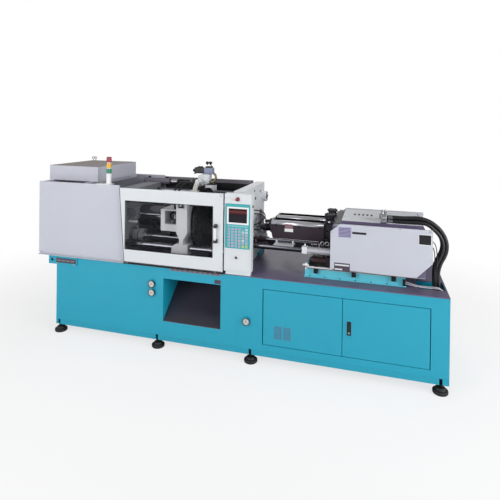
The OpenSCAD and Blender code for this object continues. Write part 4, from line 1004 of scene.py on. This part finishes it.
def makePanel(s):
    bm = bmesh.new()
    windowPlate(bm, *s["bezel"], -30, 19, 6, 2.5, 0)
    finishPiece(bm, "screenBezel", "machine", ["whitePlastic"], "white_paint")
    bm = bmesh.new()
    (x0, x1), (z0, z1) = s["screen"]
    block(bm, (x0, x1), (-25.5, -23), (z0, z1), 0.8, 0)
    finishPiece(bm, "screenGlass", "machine", ["screenGlass"], "dark_steel")
    bm = bmesh.new()
    k = s["keys"]
    for column in range(k["count"][0]):
        for row in range(k["count"][1]):
            x = k["x"] + column * k["pitch"][0]
            z = k["z"] + row * k["pitch"][1]
            half = k["size"] / 2
            tone = keyTones.get((column, row), 0)
            block(bm, (x - half - 2, x + half + 2), (s["face"] - 2, s["face"]),
                    (z - half, z + half), 0.9, tone)
            block(bm, (x - half + 3, x + half - 3), (s["face"] - 2.3, s["face"] - 2),
                    (z - 4, z + 4), 0.1, 2)
    block(bm, (2236, 2478), (s["face"] - 1, s["face"]), (1377, 1398), 0.4, 5)
    for mark in range(5):
        block(bm, (2244 + mark * 46, 2278 + mark * 46), (s["face"] - 1.3, s["face"] - 1),
                (1384, 1389), 0.1, 0)
    finishPiece(bm, "keyFilm", "machine", ["keyLavender", "keyPink", "keyGrey", "keyLime", "keyWhite",
            "keyTeal"], "key_film", "panel_keys")
    bm = bmesh.new()
    turned(bm, (2352, -20, 1682), -onY, [(0, 22), (3, 22), (4, 19), (15, 18), (15, 0)], 1)
    turned(bm, (2352, -35, 1682), -onY, [(0, 0), (0, 14), (3, 20), (8, 21), (12, 19), (14, 13), (15, 0)], 0)
    turned(bm, (2340, -20, 1043), -onY, [(0, 14), (3, 14), (4, 11), (20, 10), (22, 8), (22, 0)], 1)
    block(bm, (2337, 2343), (-47, -42), (1036, 1050), 1, 2)
    for corner in ((2219, 1152), (2488, 1152), (2219, 1622), (2488, 1622)):
        rod(bm, (corner[0], s["face"], corner[1]), (corner[0], s["face"] - 1.6, corner[1]), 3, 2, sides=12)
    # the lower service panel's seam and its lock
    windowPlate(bm, (2216, 2494), (900, 1128), -20.8, 2, 1, 0, 3)
    turned(bm, (2508, 40, 1600), onX, [(0, 0), (0, 15), (4, 15), (6, 12), (6, 0)], 1, 24)
    finishPiece(bm, "panelSwitches", "machine", ["redPlastic", "blackPlastic", "zincPlate", "paleCoat"],
            "red_plastic", "panel_knobs")


makePanel(columnSet)

bandSet = {"x": (872, 2187), "y": (1178, 1181), "z": (1690, 1742)}


def makeBand(s):
    # the folded top edge of the rear guard, seen from inside over the clamp
    bm = bmesh.new()
    block(bm, s["x"], s["y"], s["z"], 1, 0)
    for station in range(960, 2160, 170):
        bolt(bm, (station, s["y"][0], 1716), (0, -1, 0), 10, 1)
    finishPiece(bm, "guardBand", "machine", ["guardPaint", "zincPlate"], "guard_grey")


makeBand(bandSet)
print("guards fitted")

# injection units: covers, throats, cylinders, manifold, carriage
heaterSet = {"x": (2620, 3245), "half": 102, "roll": 38, "axis": 1300, "depths": (450, 750)}


def hood(bm, profile, x, start):
    # a folded cover: the profile of (depth, level) drawn out from x[0] to x[1];
    # start gives the left end's set-back
    rings = [[bm.verts.new(at(x[0] + start(level), depth, level)) for depth, level in profile],
            [bm.verts.new(at(x[1], depth, level)) for depth, level in profile]]
    count = len(profile)
    faces = [bm.faces.new((rings[0][i], rings[0][(i + 1) % count], rings[1][(i + 1) % count],
            rings[1][i])) for i in range(count)]
    faces += [bm.faces.new(rings[1]), bm.faces.new(rings[0][::-1])]
    bmesh.ops.recalc_face_normals(bm, faces=faces)
    finishShape(bm, rings[0] + rings[1], 1.5, 0, 0.6)


def makeHeaters(s):
    # folded covers over the heater bands, with rolled top edges and the nozzle end cut away below
    bm = bmesh.new()
    x0, x1 = s["x"]
    z, half, roll = s["axis"], s["half"], s["roll"]
    for y in s["depths"]:
        front, rear = y - half, y + half
        profile = [(front, z - half), (rear, z - half)]
        for side, centre in ((1, rear - roll), (-1, front + roll)):
            turns = [math.radians(a) for a in (range(0, 91, 15) if side == 1 else range(90, -1, -15))]
            profile += [(centre + side * roll * math.cos(t),
                    z + half - roll + roll * math.sin(t)) for t in turns]
        hood(bm, profile, s["x"], lambda level: max(0, z - 60 - level) + max(0, level - z - 75) * 0.8)
        # the lid's lower edge
        block(bm, (x0 + 10, x1 - 2), (front - 1, front + 1), (z + 52, z + 55), 0.3, 1)
        for station in (2700, 2900, 3100, 3210):
            bolt(bm, (station, front, z - 88), (0, -1, 0), 8, 1)
        for station in (2690, 2960, 3190):  # lid catches
            block(bm, (station, station + 20), (front - 3, front), (z + 40, z + 62), 1.5, 1)
        # the lid plate on top, in the lids' painted shade
        block(bm, (x0 + 46, x1 - 2), (front + roll, rear - roll), (z + half - 1, z + half + 0.8), 0.4, 5)
        # the rolled front edge, in bright metal as a painted highlight
        rod(bm, (x0 + 24, front + roll, z + half - roll),
                (x1 - 1, front + roll, z + half - roll), roll + 0.5, 4)
        turned(bm, (x0 - 3, y, z), onX, [(3, 44), (0, 46), (0, 58), (3, 60), (4, 60)], 1, 40)
    front = s["depths"][0] - half
    block(bm, (2802, 2900), (front - 1.6, front - 0.2), (1283, 1318), 0.5, 3)
    block(bm, (2806, 2896), (front - 1.6, front - 0.2), (1320, 1372), 0.5, 2)
    finishPiece(bm, "heaterShells", "injection_unit", ["heatEnamel", "blackSteel", "roseLabel",
            "whitePlastic", "edgePaintedHighlight", "lidPaintedShade"], "heater_brown", "heater_covers")


makeHeaters(heaterSet)

barrelSet = {"tip": 2470, "axis": 1300, "depths": (450, 750)}


def makeBarrels(s):
    # the barrel ends: hexagon nozzle, adaptor with its bolts and two band heaters with their terminals
    bm = bmesh.new()
    for y in s["depths"]:
        start = (s["tip"], y, s["axis"])
        turned(bm, start, onX, [(0, 4), (0, 9), (7, 16), (12, 18), (30, 18), (30, 21), (70, 21),
                (71, 38), (73, 40), (98, 40), (100, 38), (100, 34), (158, 34)], 0)
        turned(bm, start, onX, [(36, 0), (36, 20), (38, 23), (54, 23), (56, 20), (56, 0)], 0, 6)
        boltRing(bm, (s["tip"] + 71, y, s["axis"]), (-1, 0, 0), 31, 6, 9, 3)
        for band in (104, 128):
            turned(bm, (s["tip"] + band, y, s["axis"]), onX,
                    [(0, 34), (0, 41), (1, 42), (20, 42), (21, 41), (21, 34)], 1)
            block(bm, (s["tip"] + band + 3, s["tip"] + band + 17), (y - 10, y + 10),
                    (s["axis"] + 40, s["axis"] + 56), 2, 2)
    finishPiece(bm, "barrelEnds", "injection_unit",
            ["darkSteel", "blackSteel", "whitePlastic", "blackSteel"], "dark_steel", "barrels")


makeBarrels(barrelSet)

throatSet = {"x": (3245, 3363), "depths": (450, 750), "bore": (3301.5, 30)}


def makeThroats(s):
    # black castings: a water-cooled block with a bolted saddle and a flanged inlet, on a leg
    bm = bmesh.new()
    x0, x1 = s["x"]
    for y in s["depths"]:
        block(bm, (x0 + 2, x1), (y - 80, y + 80), (1240, 1398), 10, 0)
        block(bm, (x0 - 4, x0 + 20), (y - 88, y + 88), (1206, 1402), 8, 0)
        block(bm, (x0 + 6, x1 - 2), (y - 70, y + 70), (1396, 1440), 12, 0)
        turned(bm, (s["bore"][0], y, 1398), onZ,
                [(0, 30), (0, 58), (2, 60), (12, 60), (14, 58), (14, 30)], 1, 48)
        turned(bm, (s["bore"][0], y, 1436), onZ, [(0, 30), (0, 50), (28, 48), (40, 50), (42, 58),
                (46, 60), (60, 60), (64, 57), (64, 30), (0, 30)], 0, 40)
        boltRing(bm, (s["bore"][0], y, 1500), (0, 0, 1), 46, 4, 13, 1, 0.785)
        for side in (-1, 1):
            for station in (x0 + 26, x1 - 22):
                bolt(bm, (station, y + side * 54, 1440), (0, 0, 1), 16, 1)
        for station in (x0 + 34, x1 - 30):
            for level in (1270, 1372):
                bolt(bm, (station, y - 80, level), (0, -1, 0), 16, 1)
            turned(bm, (station, y - 80, 1318), -onY,
                    [(0, 0), (0, 11), (10, 11), (11, 8), (20, 8), (21, 0)], 1, 6)
        turned(bm, ((x0 + x1) / 2, y - 70, 1418), -onY,
                [(0, 0), (0, 17), (5, 17), (7, 14), (12, 14), (13, 0)], 2, 24)
        block(bm, (x0 + 22, x0 + 62), (y - 60, y - 26), (1150, 1240), 5, 0)
    finishPiece(bm, "throatCastings", "injection_unit", ["darkCasting", "blackSteel", "zincPlate"],
            "dark_steel", "feed_throats")


makeThroats(throatSet)

cylinderSet = {"depth": 180, "level": 1145, "x": (3034, 3660), "lower": (3112, 225, 1032)}


def makeInjectionCylinders(s):
    # the traverse cylinder with its white head, tie rods and ports, and the smaller one under it
    bm = bmesh.new()
    y, z = s["depth"], s["level"]
    x0, x1 = s["x"]
    block(bm, (x0, x0 + 56), (y - 37, y + 37), (z - 37, z + 37), 4, 1)
    turned(bm, (x0, y, z), -onX, [(-2, 17), (-2, 26), (4, 26), (6, 24), (6, 17)], 2, 32)
    turned(bm, (x0 + 56, y, z), onX, [(0, 30), (4, 32), (x1 - x0 - 60, 32), (x1 - x0 - 60, 0)], 0, 40)
    for side in (-1, 1):
        for up in (-1, 1):
            rod(bm, (x0 + 50, y + 28 * side, z + 28 * up), (3345, y + 28 * side, z + 28 * up),
                    3.4, 3, sides=10)
            bolt(bm, (x0, y + 28 * side, z + 28 * up), (-1, 0, 0), 11, 3)
    turned(bm, (x0 + 30, y, z + 37), onZ, [(0, 0), (0, 14), (12, 14), (13, 10), (28, 10), (29, 0)], 3, 6)
    lx, ly, lz = s["lower"]
    turned(bm, (lx, ly, lz), onX, [(0, 0), (0, 22), (3, 24), (20, 24), (21, 33), (24, 35), (190, 35),
            (192, 30), (200, 30), (202, 35), (250, 35)], 4, 40)
    turned(bm, (lx + 150, ly, lz + 34), onZ, [(0, 0), (0, 12), (14, 12), (15, 9), (26, 9), (26, 0)], 5, 6)
    block(bm, (3292, 3343), (ly - 46, ly + 46), (lz - 44, lz + 44), 3, 6)
    mirrorRear(bm)
    finishPiece(bm, "traverseCylinders", "injection_unit", ["silverPaint", "whiteCoat", "darkSteel",
            "zincPlate", "umberPaint", "blackSteel", "blackPaint"], "white_paint",
            "injection_cylinders")


makeInjectionCylinders(cylinderSet)

ringSet = {"places": [(3246, 214, 1212), (3296, 214, 1214)], "radius": 24}


def makeRings(s):
    # the clamp rings and ports between the throat's leg and the traverse cylinder
    bm = bmesh.new()
    block(bm, (3214, 3343), (226, 330), (1176, 1206), 4, 0)
    block(bm, (3222, 3343), (190, 238), (1178, 1192), 3, 0)
    for x, y, z in s["places"]:
        turned(bm, (x, y + 16, z), -onY, [(0, 0), (0, s["radius"]), (6, s["radius"]),
                (8, s["radius"] - 3), (8, 15), (2, 13), (2, 0)], 1, 32)
        turned(bm, (x, y + 14, z), -onY,
                [(0, 0), (0, 12), (14, 12), (16, 10), (16, 6), (10, 5), (10, 0)], 0, 24)
    block(bm, (3120, 3200), (196, 236), (1184, 1200), 3, 0)
    block(bm, (3128, 3192), (200, 232), (1200, 1208), 2, 1)
    mirrorRear(bm)
    finishPiece(bm, "portRings", "injection_unit", ["blackPaint", "zincPlate"], "dark_steel")


makeRings(ringSet)

housingSet = {"front": 100, "top": 1475}


def makeHousingTrim(s):
    # seams, screws and the bare plates of the front cover, and the lid's joint on top
    bm = bmesh.new()
    y = s["front"]
    block(bm, (3423, 3558), (y - 1.5, y), (1328, 1440), 0.5, 0)
    for row in range(7):
        block(bm, (3432, 3549), (y - 1.9, y - 1.5), (1338 + row * 14, 1344 + row * 14), 0.1, 1)
    # a black bar over the slot in the cover, painted shade of the recess
    block(bm, (3567, 3709), (y - 4, y), (1373, 1395), 3, 2)
    block(bm, (4210, 4339), (y - 2, y), (1312, 1425), 0.8, 3)
    block(bm, (4219, 4330), (y - 4, y - 2), (1321, 1416), 1, 2)
    block(bm, (3385, 3547), (y - 1.5, y), (975, 1060), 0.5, 4)
    block(bm, (3393, 3539), (y - 1.9, y - 1.5), (1030, 1046), 0.1, 3)
    block(bm, (3393, 3470), (y - 1.9, y - 1.5), (985, 1000), 0.1, 3)
    for x, z in ((3360, 1080), (3360, 1370), (3700, 1452), (4040, 1452), (4320, 1450), (4325, 1160),
            (4180, 985),
                 (3860, 988), (3600, 990)):
        bolt(bm, (x, y, z), (0, -1, 0), 9, 5)
    finishPiece(bm, "coverPlates", "injection_unit", ["lavenderPlate", "labelPlate", "blackPlastic",
            "whiteCoat", "labelPlate", "zincPlate"], "grey_plastic")
    bm = bmesh.new()
    block(bm, (3446, 4262), (246, 420), (s["top"] - 1, s["top"] + 5), 2, 0)
    block(bm, (3446, 3838), (430, 770), (s["top"] - 1, s["top"] + 8), 3, 0)
    block(bm, (3925, 4264), (452, 770), (s["top"] - 1, s["top"] + 8), 3, 0)
    block(bm, (3446, 4262), (780, 954), (s["top"] - 1, s["top"] + 5), 2, 0)
    for x in (3470, 3810, 3950, 4240):
        for y in (448, 752):
            bolt(bm, (x, y + 8, s["top"] + 8), (0, 0, 1), 11, 1)
    for rib in range(5):
        block(bm, (3560 + rib * 46, 3580 + rib * 46), (560, 640), (s["top"] + 8, s["top"] + 11), 1, 2)
    block(bm, (3345, 3444), (240, 960), (1439, 1443), 1, 2)
    finishPiece(bm, "housingLids", "injection_unit", ["whiteCoat", "zincPlate", "blackPaint"], "pale_paint")


makeHousingTrim(housingSet)

manifoldSet = {"x": (3850, 3910), "y": (245, 435), "z": (1475, 1567)}


def makeManifold(s):
    # a plated manifold with hose ferrules on its right and swivel fittings on its top and front
    bm = bmesh.new()
    block(bm, s["x"], s["y"], s["z"], 4, 0)
    for y, z in ((270, 1496), (312, 1496), (354, 1496), (291, 1530), (333, 1530)):
        turned(bm, (s["x"][1], y, z), onX, [(0, 0), (0, 17), (12, 17), (13, 15), (13, 0)], 0, 6)
        turned(bm, (s["x"][1] + 10, y, z), onX, [(0, 15), (3, 20), (44, 20), (47, 19.3), (47, 10)], 1, 28)
    for x, y, high in ((3868, 272, 28), (3868, 336, 34), (3894, 400, 24)):
        turned(bm, (x, y, s["z"][1]), onZ, [(0, 0), (0, 17), (9, 17), (10, 13), (high - 10, 13),
                (high - 9, 16), (high, 16), (high + 2, 0)], 0, 24)
        turned(bm, (x, y, s["z"][1]), onZ, [(0, 0), (0, 19), (8, 19), (9, 0)], 1, 6)
    for z in (1498, 1538):
        turned(bm, (3880, s["y"][0], z), -onY,
                [(0, 0), (0, 17), (9, 17), (10, 13), (22, 13), (23, 0)], 1, 6)
        turned(bm, (3880, s["y"][0] - 20, z), -onY, [(0, 13), (2, 15), (14, 15), (16, 11), (16, 0)], 0, 24)
    for y in (390, 420):
        bolt(bm, (3850, y, 1520), (-1, 0, 0), 12, 1)
    block(bm, (3846, 3914), (238, 246), (1475, 1484), 2, 1)
    finishPiece(bm, "manifoldFittings", "injection_unit", ["zincPlate", "turnedSteel"], "bright_steel",
            "hose_manifold")


makeManifold(manifoldSet)

carriageSet = {"stations": (3164, 3562, 3962), "front": 154}


def makeClampBolts(s):
    # clamp bars and bolts along the carriage's plate, a white strip on its edge as painted highlight, and
    # the base's foot
    bm = bmesh.new()
    for x in s["stations"]:
        for level in (922, 944):
            bolt(bm, (x + 22, s["front"], level), (0, -1, 0), 15, 0)
        block(bm, (x - 0.6, x + 44.6), (151, 176), (904.4, 976), 1.5, 1)
    block(bm, (4072, 4100), (160, 188), (866, 930), 5, 1)
    for x in (3100, 3340, 3700, 4060):
        bolt(bm, (x, 176, 975.5), (0, 0, 1), 13, 0)
    block(bm, (3095, 4285), (149.4, 175), (962, 975.6), 0.5, 2)  # the plate's machined top edge, drawn white: painted highlight
    # the grease tee on its bracket at the plate's left end
    block(bm, (3066, 3098), (160, 184), (960, 968), 1, 1)
    turned(bm, (3080, 172, 940), onZ, [(0, 0), (0, 12), (34, 12), (36, 9), (60, 9), (60, 0)], 3, 20)
    rod(bm, (3052, 172, 982), (3108, 172, 982), 10, 3, sides=20, bevel=1)
    turned(bm, (3052, 172, 982), -onX, [(0, 0), (0, 13), (8, 13), (9, 0)], 3, 6)
    turned(bm, (3080, 172, 996), onZ, [(0, 0), (0, 15), (8, 15), (10, 12), (10, 0)], 3, 24)
    mirrorRear(bm)
    finishPiece(bm, "clampBolts", "injection_unit",
            ["blackSteel", "blackPaint", "whiteCoat", "whitePlastic"], "dark_steel")
    bm = bmesh.new()
    # the base's foot flange and its bolts
    block(bm, (3056, 4108), (176, 190), (850, 862), 2, 0)
    for x in range(3120, 4100, 160):
        bolt(bm, (x, 183, 862), (0, 0, 1), 13, 1)
    # a white strip along the base's front under its top: painted highlight of the top edge
    block(bm, (3066, 4099), (188.6, 190), (940, 955), 0.6, 2)
    mirrorRear(bm)
    finishPiece(bm, "baseTrim", "machine", ["baseTeal", "blackSteel", "whiteCoat"], "teal_paint")


makeClampBolts(carriageSet)

platenSet = {"face": 2372, "depths": (450, 750), "axis": 1300}


def makePlatenFittings(s):
    # what stands on the fixed platen's right face: nozzle guards, rod brackets, pulling blocks
    bm = bmesh.new()
    x, z = s["face"], s["axis"]
    for y in s["depths"]:
        turned(bm, (x, y, z), onX, [(0, 62), (0, 92), (8, 92), (10, 90), (10, 64), (4, 62)], 0, 48)
        boltRing(bm, (x + 10, y, z), (1, 0, 0), 78, 8, 14, 1, 0.39)
    turned(bm, (x + 26, 862, 1290), onZ,
            [(0, 0), (0, 30), (12, 34), (40, 30), (90, 16), (122, 8), (128, 0)], 2, 24)
    plate(bm, [(x, 806, 1210), (x, 1020, 1200), (x, 1000, 1246), (x, 900, 1330), (x, 862, 1428),
            (x, 834, 1340), (x, 814, 1270)], (26, 0, 0), 5, 2)
    for y in (180, 1020):  # traverse rod brackets
        block(bm, (x, x + 58), (y - 44, y + 44), (1100, 1190), 5, 4)
        turned(bm, (x + 58, y, 1145), onX, [(0, 16.5), (0, 30), (16, 30), (18, 27), (18, 16.5)], 1, 6)
    for y in (365, 835):  # lower rod brackets
        block(bm, (x, x + 50), (y - 40, y + 40), (1140, 1216), 5, 4)
        turned(bm, (x + 50, y, 1178), onX, [(0, 14.5), (0, 17), (160, 17), (162, 14.5)], 3, 28)
    block(bm, (x, x + 235), (355, 372), (1073, 1139), 4, 3)
    block(bm, (x, 3120), (560, 640), (1000, 1115), 4, 5)  # wiring duct between the two units
    for station in range(2440, 3100, 130):
        block(bm, (station, station + 6), (559, 641), (999, 1116), 0.5, 1)
    block(bm, (x, x + 175), (530, 690), (1010, 1076), 6, 3)
    block(bm, (x + 20, x + 150), (700, 800), (1020, 1096), 6, 5)
    turned(bm, (x, 640, 1592), onX, [(0, 0), (0, 18), (5, 18), (7, 15), (7, 0)], 5, 28)
    for y, level in ((200, 1570), (1000, 1570), (200, 1030), (1000, 1030)):
        boltRing(bm, (x + 58, y, level), (1, 0, 0), 53, 6, 11, 1)
    for y, level in ((330, 1650), (870, 1650), (600, 1690), (330, 950), (870, 950)):
        turned(bm, (x, y, level), onX, [(0, 0), (0, 15), (3, 15), (4, 0)], 1, 24)
    finishPiece(bm, "platenFittings", "machine", ["silverPaint", "blackSteel", "guardPaint",
            "umberPaint", "whiteCoat", "blackPaint"], "dark_steel")


makePlatenFittings(platenSet)

nozzleHoseSet = {
    "diameter": 0.013,
    "routes": {
        "coolingHoseA": [(2372, 588, 1285), (2402, 588, 1288), (2440, 588, 1305), (2478, 589, 1335),
                         (2506, 590, 1370), (2508, 592, 1410), (2480, 594, 1440), (2440, 596, 1452),
                         (2400, 596, 1455), (2372, 596, 1455)],
        "coolingHoseB": [(2372, 614, 1215), (2404, 614, 1216), (2446, 614, 1228), (2488, 614, 1256),
                         (2516, 614, 1296), (2520, 614, 1340), (2496, 614, 1378), (2456, 614, 1400),
                         (2410, 614, 1408), (2372, 614, 1408)],
    },
}
layCords(nozzleHoseSet, "machine", "hoseRubber")
bentPipe("platenPipe", [(2372, 500, 1226), (2402, 500, 1222), (2420, 506, 1196), (2422, 512, 1150),
        (2420, 515, 1090)], 8, "machine", "silverPaint")

cableSet = {
    "diameter": 0.009,
    "routes": {
        "sensorCableA": [(4290, 150, 1356), (4316, 150, 1356), (4342, 151, 1350), (4364, 153, 1334),
                         (4381, 158, 1300), (4391, 168, 1252), (4398, 184, 1190), (4401, 202, 1120),
                         (4402, 218, 1040), (4402, 228, 960), (4400, 234, 885), (4396, 237, 820),
                         (4394, 238, 768)],
        "sensorCableB": [(4290, 176, 1304), (4314, 176, 1304), (4338, 178, 1298), (4358, 183, 1278),
                         (4371, 192, 1240), (4378, 204, 1190), (4380, 216, 1125), (4380, 227, 1050),
                         (4378, 236, 970), (4376, 242, 895), (4372, 246, 825), (4370, 248, 768)],
    },
}
layCords(cableSet, "injection_unit", "hoseRubber")
tubeSet = {
    "diameter": 0.010,
    "routes": {
        "greaseTubeA": [(4100, 200, 880), (4140, 206, 872), (4190, 210, 862), (4240, 212, 857),
                        (4290, 212, 856), (4340, 211, 856), (4385, 208, 858), (4425, 206, 858),
                        (4456, 208, 846), (4474, 212, 812), (4478, 214, 780)],
        "greaseTubeB": [(4100, 218, 892), (4138, 224, 884), (4186, 230, 868), (4236, 233, 861),
                        (4288, 234, 860), (4338, 233, 861), (4380, 230, 864), (4416, 228, 862),
                        (4444, 229, 848), (4460, 232, 812), (4464, 234, 780)],
    },
}
layCords(tubeSet, "machine", "clearTube")
print("injection units fitted")

# CAD nodes that keep their shape
nodeTones = {
    "tealEnamel": ("clamp_bed", "injection_bed", "cabinet_door_left", "cabinet_door_right", "lifting_lugs",
                   "platen_blocks"),
    "baseTeal": ("injection_base",),
    "tealRail": ("base_rail_front", "base_rail_rear"),
    "deckPaint": ("deck", "injection_housing"),
    "housingTopPaintedShade": ("top_housing",),
    "carriageFinish": ("injection_carriage",),
    "chuteFinish": ("chute",),
    "railPaintAndShade": ("door_rails",),
    "guardPaintAndShade": ("rear_guard",),
    "louvreBlue": ("cabinet_louvres",),
    "blackPlastic": ("cabinet_latch",),
    "zincPlate": ("door_wheels",),
    "paleCoat": ("clamp_cover_front", "clamp_cover_rear", "clamp_cover_end",
                 "injection_cover_front", "injection_cover_rear"),
    "whiteCoat": ("front_guard_door", "control_column", "fixed_platen", "drip_trays"),
    "clearSheet": ("door_window",),
    "rearWindowPaintedShade": ("rear_guard_window",),
    "keypadFilm": ("control_panel",),
    "paintedCasting": ("moving_platen", "ejector_box", "tie_bar_nuts"),
    "shadedCasting": ("rear_platen", "clamp_cylinders"),
    "hardChrome": ("tie_bars", "ram_and_rods", "injection_guide_rods"),
    "nearBlackSteel": ("rotary_table",),
}
for tone, nodeNames in nodeTones.items():
    for nodeName in nodeNames:
        dressNode(nodeName, [tone])
print("CAD nodes dressed")

# floor and world
floorSet = {"size": 80, "colour": "FAFAFA", "shadowShare": 0.3, "near": 2.2, "far": 6.0}


def makeFloor(s):
    mesh = bpy.data.meshes.new("floor")
    bm = bmesh.new()
    bmesh.ops.create_grid(bm, x_segments=1, y_segments=1, size=s["size"] / 2)
    bm.to_mesh(mesh)
    bm.free()
    floor = bpy.data.objects.new("floor", mesh)
    material, tree = startMaterial("paleFloor")
    # what the camera sees is mostly plain white, with the shadow kept near the machine
    coords = addNode(tree, "ShaderNodeTexCoord")
    reach = addNode(tree, "ShaderNodeVectorMath", {"operation": "LENGTH"}, {0: coords.outputs["Object"]})
    share = addNode(tree, "ShaderNodeMapRange", {"interpolation_type": "SMOOTHSTEP",
            "From Min": s["near"], "From Max": s["far"], "To Min": 1 - s["shadowShare"], "To Max": 1.0},
            {"Value": reach.outputs["Value"]})
    path = addNode(tree, "ShaderNodeLightPath")
    shown = addNode(tree, "ShaderNodeMath", {"operation": "MULTIPLY"},
            {0: share.outputs[0], 1: path.outputs["Is Camera Ray"]})
    diffuse = addNode(tree, "ShaderNodeBsdfDiffuse", {"Color": linear(s["colour"])})
    glow = addNode(tree, "ShaderNodeEmission", {"Color": (1, 1, 1, 1), "Strength": 1.0})
    shader = addNode(tree, "ShaderNodeMixShader", None,
            {0: shown.outputs[0], 1: diffuse.outputs[0], 2: glow.outputs[0]})
    endMaterial(tree, shader)
    mesh.materials.append(material)
    scene.collection.objects.link(floor)


def makeWorld(s):
    world = bpy.data.worlds.new("studio")
    scene.world = world
    world.use_nodes = True
    tree = world.node_tree
    tree.nodes.clear()
    # white for the camera and through glass; a dim room for reflections; darker above than at the sides
    coords = addNode(tree, "ShaderNodeTexCoord")
    parts = addNode(tree, "ShaderNodeSeparateXYZ", None, {0: coords.outputs["Generated"]})
    room = addNode(tree, "ShaderNodeMapRange", {"From Min": 0.1, "From Max": 0.8, "To Min": s["side"],
            "To Max": s["above"]}, {"Value": parts.outputs["Z"]})
    path = addNode(tree, "ShaderNodeLightPath")
    mirrored = addNode(tree, "ShaderNodeMix", {3: s["mirrored"]},
            {0: path.outputs["Is Glossy Ray"], 2: room.outputs[0]})
    seen = addNode(tree, "ShaderNodeMath", {"operation": "MAXIMUM"},
            {0: path.outputs["Is Camera Ray"], 1: path.outputs["Is Transmission Ray"]})
    level = addNode(tree, "ShaderNodeMix", {3: 1.0}, {0: seen.outputs[0], 2: mirrored.outputs[0]})
    light = addNode(tree, "ShaderNodeBackground", {"Color": (1, 1, 1, 1)}, {"Strength": level.outputs[0]})
    addNode(tree, "ShaderNodeOutputWorld", None, {"Surface": light.outputs[0]})


makeFloor(floorSet)
makeWorld(worldSet)
print("floor and world made")
